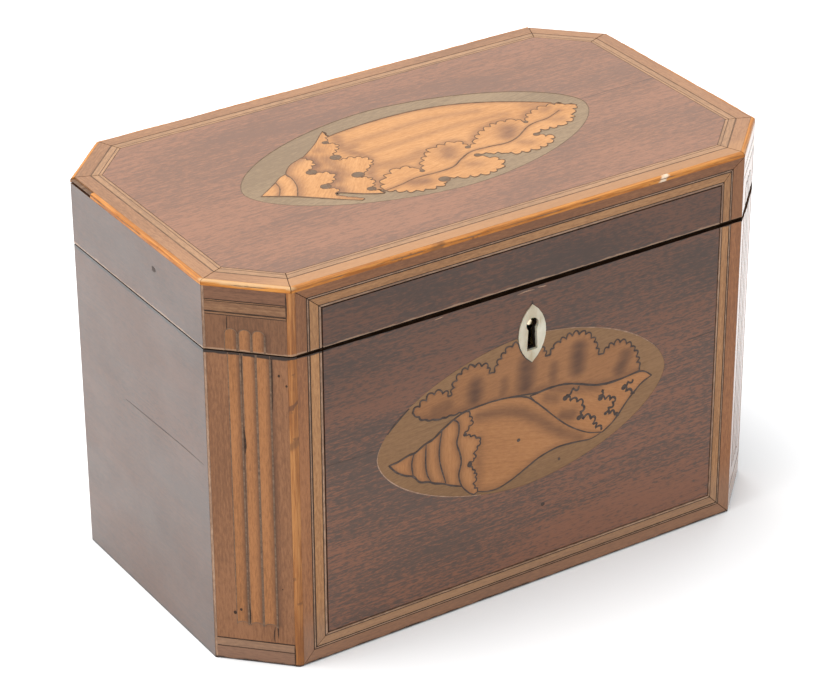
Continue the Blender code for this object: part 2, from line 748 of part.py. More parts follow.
case = Pivot("case_frame", (0, 0, 0))
case.empty.location.y = SHIFT_Y * MM
lid = Pivot("lid_axis", (0, AXIS_Y, AXIS_Z), case)
bolt_slide = Pivot("bolt_slide", (0, HOOK_Y, 93), case)
left_lift = Pivot("left_lift", (-WIDTH / 4 + 2, 0, LEDGE_Z), case)
right_lift = Pivot("right_lift", (WIDTH / 4 - 2, 0, LEDGE_Z), case)

through = (-HALF_DEPTH - 2, -HALF_DEPTH + SKIN + 2)
half_wide, half_high = FRONT_OVAL
oval_shape = oval(half_wide + BED, half_high + BED, centre=(0, FRONT_OVAL_Z))
oval_cutter = add_tool("oval_cutter", plate(oval_shape, *through, upright=True), case)
escutcheon_cutter = add_tool("escutcheon_cutter", plate(navette(BED), *through, upright=True), case)
keyhole_reach = (-HALF_DEPTH - 2, LOCK_FRONT_Y + 1.5)
keyhole_cutter = add_tool("keyhole_cutter", plate(keyhole(0.1), *keyhole_reach, upright=True), case)

make_case_boards()
make_case_veneers()
make_case_front()
make_compartments()
make_inner_lids()
make_lid_boards()
make_lid_sides()
make_lid_top()
make_hinges()
make_lock_housing()
make_lock_case()
make_lock_bolt()
make_link_plate()
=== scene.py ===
"""Looks of the tea caddy: strung and crossbanded borders, shell marquetry, fluted corners, old worn polish.

Lengths are millimetres until a mesh is made. +X is to the right of the front, +Y away from it and +Z up.
"""

import random
from math import atan2, cos, pi, radians, sin, sqrt

import bpy
import numpy as np
from mathutils import Matrix, Vector, noise
from mathutils.geometry import delaunay_2d_cdt


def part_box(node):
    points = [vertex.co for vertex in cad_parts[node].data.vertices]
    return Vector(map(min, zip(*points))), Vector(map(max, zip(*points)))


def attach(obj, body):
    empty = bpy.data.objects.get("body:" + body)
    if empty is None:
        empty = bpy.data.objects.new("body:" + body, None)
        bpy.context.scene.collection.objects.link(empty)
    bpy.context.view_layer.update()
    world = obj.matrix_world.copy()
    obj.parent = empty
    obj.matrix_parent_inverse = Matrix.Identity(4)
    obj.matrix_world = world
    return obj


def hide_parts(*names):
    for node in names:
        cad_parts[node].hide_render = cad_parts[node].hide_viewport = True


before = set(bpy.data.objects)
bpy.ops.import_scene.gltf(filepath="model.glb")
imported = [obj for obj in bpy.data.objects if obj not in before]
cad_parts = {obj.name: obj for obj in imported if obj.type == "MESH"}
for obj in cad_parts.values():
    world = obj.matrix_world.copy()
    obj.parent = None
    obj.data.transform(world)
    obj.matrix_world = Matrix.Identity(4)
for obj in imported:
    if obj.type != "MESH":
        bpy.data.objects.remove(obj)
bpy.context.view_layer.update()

MM = 0.001
SLANT = sqrt(0.5)
TO_MM = (1 / MM, 1 / MM, 1 / MM)
LOOKS = random.Random(11)
SHEET = 400  # side of the sheet of veneer that plates are cut from


# Sizes, read from the frame

def box(node):
    """Lowest and highest corner of a CAD node in millimetres."""
    low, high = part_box(node)
    return low / MM, high / MM


LEFT_X = box("left_veneer")[0].x
FRONT_Y = box("front_veneer")[0].y
BACK_Y = box("back_veneer")[1].y
TOP_Z = box("lid_veneer")[1].z
RIM_Z = box("left_veneer")[1].z
LID_Z = box("lid_left_veneer")[0].z
MIDDLE_Y = (FRONT_Y + BACK_Y) / 2
SEAM_Y = MIDDLE_Y + 1.5  # the lid's two sheets of veneer meet here
HALF_WIDTH = -LEFT_X
HALF_DEPTH = (BACK_Y - FRONT_Y) / 2
SIDE_LENGTH = box("left_veneer")[1].y - box("left_veneer")[0].y
GLUE = 0.05  # the side veneer stops short of the corner by a glue line
CANT = HALF_DEPTH - SIDE_LENGTH / 2 - GLUE  # leg of a canted corner
CANT_WIDTH = CANT / SLANT
FRONT_HALF = HALF_WIDTH - CANT
FIELD_LEFT, FIELD_RIGHT = box("front_veneer")[0].x, box("front_veneer")[1].x
FIELD_FOOT = box("front_veneer")[0].z
LID_FIELD_TOP = box("lid_front_veneer")[1].z
SKIN = box("front_veneer")[1].y - FRONT_Y
FRONT_OVAL = (box("front_patera")[1] - box("front_patera")[0]) / 2
FRONT_OVAL_Z = (box("front_patera")[1].z + box("front_patera")[0].z) / 2
LID_OVAL = (box("lid_patera")[1] - box("lid_patera")[0]) / 2
ARRIS = TOP_Z - box("lid_edge_stringing")[0].z
ARRIS_WIDTH = 1.25  # its width on the top, where it has worn

EDGE = 0.12  # glue line along the front's right edge
BED = 0.2  # thickness of the dark glue bed under the strips
INLAY = 0.05  # thickness of a marquetry piece above its ground
INK = 0.012  # the mastic lines stand this far proud
OVAL_POWER = 1.75


# Flat faces of the caddy

class Plane:
    """One flat face. u runs along right, v along up and w out of the face."""

    def __init__(self, origin, right, up):
        self.origin = Vector(origin)
        self.right = Vector(right)
        self.up = Vector(up)
        self.out = self.right.cross(self.up)

    def at(self, u, v, w):
        return (self.origin + self.right * u + self.up * v + self.out * w) * MM


TOP = Plane((0, MIDDLE_Y, TOP_Z), (1, 0, 0), (0, 1, 0))
FRONT = Plane((0, FRONT_Y, 0), (1, 0, 0), (0, 0, 1))
CORNER_LEFT = Plane((LEFT_X, FRONT_Y + CANT, 0), (SLANT, -SLANT, 0), (0, 0, 1))
CORNER_RIGHT = Plane((FRONT_HALF, FRONT_Y, 0), (SLANT, SLANT, 0), (0, 0, 1))
LEFT = Plane((LEFT_X, 0, 0), (0, -1, 0), (0, 0, 1))
RIGHT = Plane((-LEFT_X, FRONT_Y + CANT, 0), (0, 1, 0), (0, 0, 1))


# Curves in a plane

def curve(points, step=0.5):
    """A smooth curve through the points, as a list of closely spaced ones."""
    ends = [points[0]] + list(points) + [points[-1]]
    path = []
    for before, start, end, after in zip(ends, ends[1:], ends[2:], ends[3:]):
        p0, p1, p2, p3 = (np.array(point, float) for point in (before, start, end, after))
        count = max(2, round(np.linalg.norm(p2 - p1) / step))
        for i in range(count):
            t = i / count
            blend = 2 * p1 + (p2 - p0) * t + (2 * p0 - 5 * p1 + 4 * p2 - p3) * t ** 2
            path.append(tuple((blend + (3 * p1 - p0 - 3 * p2 + p3) * t ** 3) / 2))
    path.append(tuple(float(value) for value in points[-1]))
    return path


def shares(path):
    """How far along the path each point lies, from 0 to 1."""
    steps = np.linalg.norm(np.diff(np.array(path), axis=0), axis=1)
    total = np.concatenate([[0], np.cumsum(steps)])
    return total / total[-1]


def sideways(path):
    """Unit vectors to the left of the path at each point."""
    along = np.gradient(np.array(path), axis=0)
    along /= np.linalg.norm(along, axis=1)[:, None] + 1e-9
    return np.stack([-along[:, 1], along[:, 0]], axis=1)


def frill(points, teeth, depth=1.15):
    """A smooth curve with uneven, rounded teeth on its left."""
    path = curve(points, step=0.2)
    share = shares(path)
    uneven = np.array([noise.noise(Vector((u * 0.4, v * 0.4, 3))) for u, v in path])
    wave = np.abs(np.sin(pi * (teeth * share + 0.35 * uneven)))
    bulge = depth * (1 + 0.6 * uneven) * (wave ** 0.7 - 0.5)
    bulge *= np.clip(np.minimum(share, 1 - share) * 12, 0, 1)
    return [tuple(point) for point in np.array(path) + sideways(path) * bulge[:, None]]


def chain(*paths):
    """Paths joined end to end."""
    return [point for path in paths for point in path]


def frills(lobes, depth):
    """Frilled curves end to end. Each lobe has its points and its number of teeth."""
    return chain(*[frill(points, teeth, depth) for points, teeth in lobes])


def oval(half_width, half_height, v=0, steps=160):
    """A slightly pointed oval."""
    points = []
    for step in range(steps):
        turn = 2 * pi * step / steps
        reach = abs(cos(turn)) ** (2 / OVAL_POWER) * (1 if cos(turn) > 0 else -1)
        rise = abs(sin(turn)) ** (2 / OVAL_POWER) * (1 if sin(turn) > 0 else -1)
        points.append((half_width * reach, v + half_height * rise))
    return points


def inside(points, outline):
    """Which points lie inside the closed outline."""
    points = np.asarray(points, float)
    x, y = points[:, 0], points[:, 1]
    found = np.zeros(len(points), bool)
    for (x0, y0), (x1, y1) in zip(outline, outline[1:] + outline[:1]):
        if y0 != y1:
            crosses = (y0 > y) != (y1 > y)
            found ^= crosses & (x < x0 + (y - y0) * (x1 - x0) / (y1 - y0))
    return found


def distance(points, path):
    """Distance from each point to the nearest of the path's points."""
    points = np.asarray(points, float)
    path = np.asarray(path, float)
    nearest = np.full(len(points), 1e9)
    for start in range(0, len(path), 200):
        gaps = points[:, None, :] - path[None, start:start + 200, :]
        nearest = np.minimum(nearest, np.sqrt((gaps ** 2).sum(-1)).min(1))
    return nearest


# Meshes

def place_in_sheet():
    """Every plate and bar is cut from its own place in a large sheet."""
    return LOOKS.uniform(0, SHEET), LOOKS.uniform(0, SHEET)


class Inlay:
    """Collects closed plates, ribbons and bars that become one piece, with a grain map and a scorch value."""

    def __init__(self, plane=None):
        self.plane = plane
        self.points = []
        self.faces = []
        self.grain = []
        self.scorch = []

    def start(self, angle):
        """Begins a plate or ribbon, its grain turned by angle."""
        self.angle = angle
        self.offset = place_in_sheet()

    def vertex(self, u, v, w, scorch=0.0):
        self.points.append(self.plane.at(u, v, w))
        along = u * cos(self.angle) + v * sin(self.angle) + self.offset[0]
        across = -u * sin(self.angle) + v * cos(self.angle) + self.offset[1]
        self.grain.append((along * MM, across * MM))
        self.scorch.append(scorch)
        return len(self.points) - 1

    def plate(self, outline, low=-INLAY, high=INK, angle=0, holes=(), spacing=None, shading=(), base=0.0):
        """A plate with the given outline. shading holds paths, each with its reach and strength."""
        self.start(angle)
        loops = [list(outline), *[list(hole) for hole in holes]]
        corners = chain(*loops)
        edges = []
        for loop in loops:
            first = len(edges)
            edges += [(first + i, first + (i + 1) % len(loop)) for i in range(len(loop))]
        if spacing:
            corners = corners + self.filling(loops[0], spacing)
        flat = [Vector(corner) for corner in corners]
        found, _, triangles, *_ = delaunay_2d_cdt(flat, edges, [], 2, 1e-5)
        shade = shading_at(found, shading, base)
        top = [self.vertex(p[0], p[1], high, s) for p, s in zip(found, shade)]
        foot = [self.vertex(p[0], p[1], low, s) for p, s in zip(found, shade)]
        rim = {}
        for triangle in triangles:
            self.faces.append([top[i] for i in triangle])
            self.faces.append([foot[i] for i in reversed(triangle)])
            for i, j in zip(triangle, triangle[1:] + triangle[:1]):
                if (j, i) in rim:
                    del rim[j, i]
                else:
                    rim[i, j] = True
        for i, j in rim:
            self.faces.append([top[j], top[i], foot[i], foot[j]])

    @staticmethod
    def filling(outline, spacing):
        """Points on a staggered grid inside the outline."""
        low, high = np.min(outline, axis=0), np.max(outline, axis=0)
        rows = np.arange(low[1] + spacing / 2, high[1], spacing * 0.87)
        grid = []
        for number, v in enumerate(rows):
            shift = spacing * (0.25 if number % 2 else 0.75)
            grid += [(u, v) for u in np.arange(low[0] + shift, high[0], spacing)]
        keep = inside(grid, list(outline)) & (distance(grid, outline) > spacing * 0.4)
        return [tuple(float(value) for value in point) for point, kept in zip(grid, keep) if kept]

    def ribbon(self, path, half, low=-INLAY, high=INK, taper=0):
        """A line of mastic along a path, half wide on each side. taper thins both ends."""
        self.start(0)
        share = shares(path)
        side = sideways(path)
        rows = []
        for number, (point, away) in enumerate(zip(np.array(path), side)):
            wobble = 1 + 0.35 * noise.noise(Vector((point[0], point[1], number * 0.05)) * 0.6)
            reach = half * wobble * (1 - taper * abs(2 * share[number] - 1) ** 3)
            left, right = point + away * reach, point - away * reach
            section = ((left, low), (left, high), (right, high), (right, low))
            rows.append([self.vertex(*spot, level) for spot, level in section])
        self.skin(rows)

    def skin(self, rows):
        """Walls between rows of equal length round a section, with caps at both ends."""
        for here, there in zip(rows, rows[1:]):
            for i in range(len(here)):
                j = (i + 1) % len(here)
                self.faces.append([here[i], here[j], there[j], there[i]])
        self.faces.append(rows[0][::-1])
        self.faces.append(list(rows[-1]))

    def bar(self, layers):
        """A bar along its own length. Each layer holds the corners of one cross-section in space."""
        offset = place_in_sheet()
        rows = []
        run = 0
        before = None
        for layer in layers:
            centre = sum((Vector(point) for point in layer), Vector()) / len(layer)
            run += (centre - before).length if before else 0
            before = centre
            row = []
            for number, point in enumerate(layer):
                self.points.append(Vector(point) * MM)
                self.grain.append(((run + offset[0]) * MM, (number * 0.4 + offset[1]) * MM))
                self.scorch.append(0.0)
                row.append(len(self.points) - 1)
            rows.append(row)
        self.skin(rows)

    def piece(self, name, wood_name, body, slot, *nodes):
        """The finished object, riding on its body and standing for the nodes."""
        mesh = bpy.data.meshes.new(name)
        mesh.from_pydata([tuple(point) for point in self.points], [], self.faces)
        layer = mesh.uv_layers.new(name="grain")
        for loop in mesh.loops:
            layer.data[loop.index].uv = self.grain[loop.vertex_index]
        scorch = mesh.attributes.new("scorch", "FLOAT", "POINT")
        scorch.data.foreach_set("value", self.scorch)
        mesh.materials.append(materials[wood_name])
        mesh.validate()
        return place(bpy.data.objects.new(name, mesh), body, slot, *nodes)


def place(obj, body, slot, *nodes):
    """Links an object, puts it on its body and hides the CAD nodes it stands for."""
    put_in_scene(obj)
    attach(obj, body)
    if nodes:
        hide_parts(*nodes)
    return obj


def shading_at(points, shading, base):
    """Sand shading at each point: the strongest of the scorched paths near it, and at least base."""
    points = np.array([tuple(point) for point in points])
    shade = np.full(len(points), base)
    for path, reach, strength in shading:
        near = curve(path, step=0.4) if len(path) > 1 else path
        shade = np.maximum(shade, strength * np.exp(-(distance(points, near) / reach) ** 2))
    return shade.tolist()


# Materials

class Wire:
    """An output of a shader node. Sums, differences and products of wires are Math nodes."""

    def __init__(self, socket):
        self.socket = socket
        self.tree = socket.id_data

    def __add__(self, other):
        return maths("ADD", self, other)

    def __sub__(self, other):
        return maths("SUBTRACT", self, other)

    def __mul__(self, other):
        return maths("MULTIPLY", self, other)


def node(kind, inputs, output=0, tree=None, **settings):
    """Adds a node and gives one of its outputs. inputs maps its sockets to values or to wires."""
    if tree is None:
        tree = next(value.tree for value in inputs.values() if isinstance(value, Wire))
    made = tree.nodes.new(kind)
    for key, value in settings.items():
        setattr(made, key, value)
    for key, value in inputs.items():
        if isinstance(value, Wire):
            tree.links.new(value.socket, made.inputs[key])
        else:
            made.inputs[key].default_value = value
    return Wire(made.outputs[output])


def maths(operation, first, second=0):
    return node("ShaderNodeMath", {0: first, 1: second}, operation=operation)


def stretched(vector, *scale):
    return node("ShaderNodeMapping", {"Vector": vector, "Scale": scale})


def speckle(vector, scale=1, detail=3, roughness=0.5):
    """Noise from 0 to 1."""
    inputs = {"Vector": vector, "Scale": scale, "Detail": detail, "Roughness": roughness}
    return node("ShaderNodeTexNoise", inputs, "Fac")


def between(value, low, high, to_low=0, to_high=1):
    """Maps a value from one range to another, smoothly and clamped."""
    inputs = {"Value": value, "From Min": low, "From Max": high, "To Min": to_low, "To Max": to_high}
    return node("ShaderNodeMapRange", inputs, interpolation_type="SMOOTHSTEP")


def grained(space, along, across, detail=3, roughness=0.5):
    """Noise with one scale along the grain and another across it."""
    return speckle(stretched(space, along, across, across), 1, detail, roughness)


def blend(factor, first, second):
    """Mixes two colours, given as wires or as linear red, green and blue."""
    first, second = (colour if isinstance(colour, Wire) else (*colour, 1) for colour in (first, second))
    return node("ShaderNodeMix", {0: factor, 6: first, 7: second}, 2, data_type="RGBA")


def ramp(factor, *stops):
    """A colour ramp through stops of place and linear colour."""
    made = node("ShaderNodeValToRGB", {"Fac": factor})
    elements = made.socket.node.color_ramp.elements
    while len(elements) < len(stops):
        elements.new(0.5)
    for element, (place, colour) in zip(elements, stops):
        element.position = place
        element.color = (*colour, 1)
    return made


def axis(vector, number):
    return node("ShaderNodeSeparateXYZ", {0: vector}, number)


def position(tree):
    """The place on the caddy, in millimetres."""
    return stretched(node("ShaderNodeTexCoord", {}, "Object", tree), *TO_MM)


def grain_space(tree, grain):
    """Millimetres, with the first axis along the grain, taken from the grain map or turned from the frame."""
    if grain == "map":
        found = node("ShaderNodeUVMap", {}, tree=tree, uv_map="grain")
    else:
        found = node("ShaderNodeTexCoord", {}, "Object", tree)
    return node("ShaderNodeMapping", {"Vector": found, "Rotation": GRAIN_TURNS[grain], "Scale": TO_MM})


def new_material(name, **constants):
    """A Principled material with constants on the shader's own sockets."""
    material = bpy.data.materials.new(name)
    material.use_nodes = True
    for key, value in constants.items():
        material.node_tree.nodes["Principled BSDF"].inputs[key.replace("_", " ")].default_value = value
    return material


def finished(material, colour, roughness, height, strength, depth):
    """Wires colour, roughness and bump into the material's shader. depth is the bump's, in millimetres."""
    bump = node("ShaderNodeBump", {"Strength": strength, "Distance": depth * MM, "Height": height})
    sockets = material.node_tree.nodes["Principled BSDF"].inputs
    for key, wire in (("Base Color", colour), ("Roughness", roughness), ("Normal", bump)):
        material.node_tree.links.new(wire.socket, sockets[key])
    return material


def wood(name, tones, grain="map", pores=0.4, figure=1, rough=(0.3, 0.42), gloss=0.4, coat=0.2, fleck=0.4,
         scorched=None, marks=()):
    """Polished wood. tones are the dark, middle and light colours, pores how strongly its open pores show."""
    material = new_material(
        name, Coat_Weight=coat, Coat_Roughness=0.16, Coat_IOR=1.5, IOR=1.5, Specular_IOR_Level=gloss
    )
    space = grain_space(material.node_tree, grain)
    clouds = grained(space, 0.014, 0.05, 4)
    streaks = grained(space, 0.028, 1, 4, 0.6)
    flecks = grained(space, fleck, 1.8, 4, 0.7)
    fibres = grained(space, 0.3, 4, 2)
    mixed = clouds * 0.3 + streaks * 0.22 + flecks * 0.48
    span = 0.075 / figure
    colour = ramp(between(mixed, 0.5 - span, 0.5 + span), (0, tones[0]), (0.5, tones[1]), (1, tones[2]))
    pore = between(fibres, 0.58, 0.74)
    colour = blend(pore * pores, colour, tuple(c * 0.5 for c in tones[0]))
    if scorched:
        burnt = node("ShaderNodeAttribute", {}, "Fac", material.node_tree, attribute_name="scorch")
        patchy = between(grained(space, 0.15, 0.5, 4), 0.2, 0.8, 0.85, 1.1)
        colour = blend(burnt * patchy, colour, scorched)
    for mark in marks:
        colour = mark(colour)
    grime = grained(space, 0.035, 0.05, 5, 0.65)
    return finished(material, colour, between(grime, 0.3, 0.7, *rough), streaks * 0.4 - pore * 0.5, 0.2, 0.05)


def painted_shade_and_wear(lid_shade=0, joint_shadow=0.95, foot_paling=0):
    """Painted shadow in the gap below the rim and at the foot where it meets the floor, a painted highlight
    on the lid's worn lower edge, painted shade on the lid, and a paler, greyer foot.
    """
    def mark(colour):
        spot = position(colour.tree)
        height = axis(spot, 2)
        jittered = height + between(speckle(spot, 0.22, 4), 0.25, 0.75, -0.3, 0.3)
        on_case = maths("LESS_THAN", height, (RIM_Z + LID_Z) / 2)
        on_lid = maths("SUBTRACT", 1, on_case)
        # Masks for painted shadow: in the gap just below the rim, and at the foot where the caddy meets the
        # floor.
        joint = on_case * between(jittered, RIM_Z - 1.1, RIM_Z - 0.7, 0, joint_shadow)
        foot = between(jittered, 1, 0.35, 0, 0.9)
        # The foot is made paler and greyer below 22 mm.
        colour = blend(between(height, 22, 6, 0, foot_paling), colour, (0.25, 0.19, 0.15))
        # Painted shade: the lid is darker than the case.
        colour = blend(on_lid * lid_shade, colour, (0.03, 0.012, 0.006))
        colour = blend(maths("MAXIMUM", joint, foot), colour, (0.011, 0.006, 0.004))
        # Painted highlight along the lid's worn lower edge.
        worn_edge_highlight = on_lid * between(jittered, LID_Z + 0.6, LID_Z + 0.3, 0, 0.6)
        return blend(worn_edge_highlight, colour, (0.34, 0.21, 0.13))
    return mark


def painted_front_shade(colour):
    """Painted shade on the front: darker and darker from 45 mm up towards the lid."""
    height = axis(position(colour.tree), 2)
    return blend(between(height, 45, 100, 0, 0.42), colour, (0.03, 0.017, 0.013))


def faded_front(colour):
    """The lid's border is paler along its front."""
    depth = axis(position(colour.tree), 1)
    return blend(between(depth, FRONT_Y + 10, FRONT_Y + 5, 0, 0.5), colour, (0.42, 0.21, 0.085))


def keyhole_shadow(colour):
    """The wood is painted black in and round the keyhole, a painted shadow inside the hole."""
    key = (box("escutcheon")[0] + box("escutcheon")[1]) / 2
    spot = node("ShaderNodeMapping", {"Vector": position(colour.tree), "Location": (-key.x, 0, -key.z)})
    rise = maths("MULTIPLY", 0.4, maths("ABSOLUTE", axis(spot, 2)))
    near = maths("ABSOLUTE", axis(spot, 0)) + rise
    return blend(between(near, 4.6, 3.8, 0, 0.95), colour, (0.008, 0.005, 0.004))


def crest_highlight_and_nicks(colour):
    """The top arris gets a painted highlight along its crest, strongest on the front left corner, and is
    nicked and knotted in places.
    """
    spot = position(colour.tree)
    x, y, z = (axis(spot, number) for number in range(3))
    wander = between(speckle(spot, 0.12, 4), 0.25, 0.75, -0.4, 0.4)
    crest_highlight = between(z + wander, TOP_Z - 1, TOP_Z - 0.3)
    cant_edge = LEFT_X + FRONT_Y + CANT
    on_cant = between(x + y, cant_edge + 2.5, cant_edge + 1, 0.14, 0.85)
    knots = between(speckle(spot, 0.35, 2), 0.68, 0.76, 0, 0.6)
    # Painted highlight along the crest.
    colour = blend(crest_highlight * on_cant, colour, (0.48, 0.30, 0.15))
    in_front = between(y, FRONT_Y + 4, FRONT_Y + 2)
    slanted = x - (z - TOP_Z)
    for place, reach, tone in ARRIS_NICKS:
        rough_edge = maths("ABSOLUTE", slanted - place) + wander * 4
        colour = blend(in_front * between(rough_edge, reach, reach * 0.2, 0, 0.7), colour, tone)
    return blend(knots, colour, (0.12, 0.045, 0.015))


def lid_seam(colour):
    """The seam between the lid's two sheets of veneer shows from its right end and fades out to the left."""
    spot = position(colour.tree)
    wander = between(speckle(stretched(spot, 0.06, 0, 0.06), detail=4), 0.2, 0.8, -0.5 - SEAM_Y, 0.5 - SEAM_Y)
    near = between(maths("ABSOLUTE", axis(spot, 1) + wander), 0.24, 0)
    return blend(near * between(axis(spot, 0), -110, 62, 0, 0.8), colour, (0.012, 0.006, 0.004))


def dark_wood(name, tones, gloss=0.15):
    """Ebonised stringing, the dark mastic in the marquetry's lines, and the matte painted shadows in the
    joints.
    """
    material = new_material(name, Specular_IOR_Level=gloss, IOR=1.5)
    worn_away = grained(grain_space(material.node_tree, "map"), 0.25, 0.9, 4)
    colour = ramp(worn_away, (0.3, tones[0]), (0.55, tones[1]), (0.75, tones[2]))
    return finished(material, colour, between(worn_away, 0.2, 0.8, 0.45, 0.65), worn_away, 0.3, 0.03)


def bone_material():
    material = new_material("old_bone", IOR=1.5, Subsurface_Weight=0.15, Subsurface_Scale=0.001)
    space = grain_space(material.node_tree, "Z")
    stain = grained(space, 0.12, 0.2, 5)
    lines = grained(space, 0.2, 3)
    colour = ramp(stain, (0.3, (0.37, 0.30, 0.19)), (0.5, (0.49, 0.44, 0.33)), (0.7, (0.58, 0.54, 0.43)))
    colour = blend(between(lines, 0.56, 0.75, 0, 0.6), colour, (0.34, 0.24, 0.13))
    return finished(material, colour, between(stain, 0.3, 0.7, 0.42, 0.28), lines, 0.2, 0.03)


def metal(name, bright, dull, rough=(0.22, 0.5), dull_share=0.5, crumple=0):
    """Metal with patches of tarnish and fine brushing; crumple makes it a beaten foil."""
    material = new_material(name, Metallic=1)
    space = grain_space(material.node_tree, "X")
    patches = grained(space, 0.16, 0.16, 6, 0.65)
    tarnish = between(patches, dull_share - 0.15, dull_share + 0.15)
    colour, roughness = blend(tarnish, bright, dull), between(tarnish, 0, 1, *rough)
    if crumple:
        cells = {"Vector": space, "Scale": 0.16}
        folds = node("ShaderNodeTexVoronoi", cells, "Distance", distance="MINKOWSKI")
        return finished(material, colour, roughness, folds + patches, 0.6, crumple)
    return finished(material, colour, roughness, grained(space, 0.15, 4), 0.15, 0.02)


GRAIN_TURNS = {"map": (0, 0, 0), "X": (0, 0, 0), "Y": (0, 0, -pi / 2), "Z": (0, pi / 2, 0)}
# Nicks in the front's top arris: place along it, reach and tone.
ARRIS_NICKS = ((-40.5, 1, (0.08, 0.03, 0.015)), (-28.5, 2.4, (0.15, 0.06, 0.02)), (49, 1.3, (0.7, 0.62, 0.5)))

TOP_MAHOGANY = ((0.16, 0.076, 0.043), (0.205, 0.091, 0.047), (0.255, 0.112, 0.058))
FRONT_MAHOGANY = ((0.085, 0.053, 0.04), (0.133, 0.066, 0.043), (0.2, 0.084, 0.047))
SIDE_MAHOGANY = ((0.044, 0.02, 0.01), (0.062, 0.025, 0.011), (0.088, 0.033, 0.013))
CARCASE = ((0.11, 0.05, 0.025), (0.17, 0.085, 0.045), (0.24, 0.13, 0.07))
TOP_BANDING = ((0.21, 0.1, 0.045), (0.27, 0.13, 0.06), (0.33, 0.165, 0.077))
BANDING = ((0.19, 0.072, 0.026), (0.247, 0.096, 0.034), (0.3, 0.122, 0.045))
CORNER_BANDING = ((0.125, 0.052, 0.024), (0.165, 0.07, 0.033), (0.205, 0.09, 0.043))
PANEL = ((0.145, 0.058, 0.022), (0.187, 0.077, 0.03), (0.23, 0.098, 0.04))
RIGHT_PANEL = ((0.19, 0.07, 0.02), (0.238, 0.086, 0.022), (0.29, 0.11, 0.03))
FLUTE = ((0.2, 0.078, 0.022), (0.265, 0.103, 0.031), (0.32, 0.13, 0.042))
TOP_BOXWOOD = ((0.23, 0.125, 0.062), (0.3, 0.16, 0.078), (0.37, 0.2, 0.1))
BOXWOOD = ((0.25, 0.113, 0.042), (0.328, 0.156, 0.06), (0.4, 0.2, 0.08))
CORNER_BOXWOOD = ((0.165, 0.073, 0.03), (0.222, 0.104, 0.046), (0.28, 0.138, 0.062))
HOLLY = ((0.2, 0.112, 0.066), (0.28, 0.163, 0.1), (0.36, 0.225, 0.145))
ARRIS_WOOD = ((0.26, 0.08, 0.01), (0.41, 0.14, 0.02), (0.52, 0.21, 0.04))
CORNER_ARRIS = ((0.19, 0.062, 0.013), (0.275, 0.1, 0.022), (0.38, 0.16, 0.045))
TOP_SYCAMORE = ((0.36, 0.155, 0.045), (0.445, 0.205, 0.066), (0.53, 0.26, 0.095))
FRONT_SYCAMORE = ((0.265, 0.108, 0.034), (0.337, 0.142, 0.046), (0.39, 0.172, 0.06))
TOP_GROUND = ((0.185, 0.12, 0.065), (0.223, 0.147, 0.08), (0.26, 0.175, 0.098))
FRONT_GROUND = ((0.16, 0.08, 0.031), (0.2, 0.101, 0.04), (0.235, 0.122, 0.051))
SCORCH = (0.07, 0.027, 0.012)
TOP_SCORCH = (0.11, 0.042, 0.022)
EBONY = ((0.02, 0.01, 0.006), (0.045, 0.023, 0.013), (0.09, 0.045, 0.022))
INK_TONES = ((0.04, 0.027, 0.022), (0.07, 0.049, 0.04), (0.115, 0.082, 0.064))
FADED_EBONY = ((0.09, 0.052, 0.033), (0.145, 0.086, 0.053), (0.2, 0.122, 0.078))
# Painted shadow in the gap between case and lid.
JOINT_SHADOW_TONES = ((0.004, 0.002, 0.001), (0.008, 0.004, 0.002), (0.015, 0.008, 0.005))
MASTIC = ((0.11, 0.07, 0.045), (0.15, 0.1, 0.066), (0.19, 0.13, 0.09))


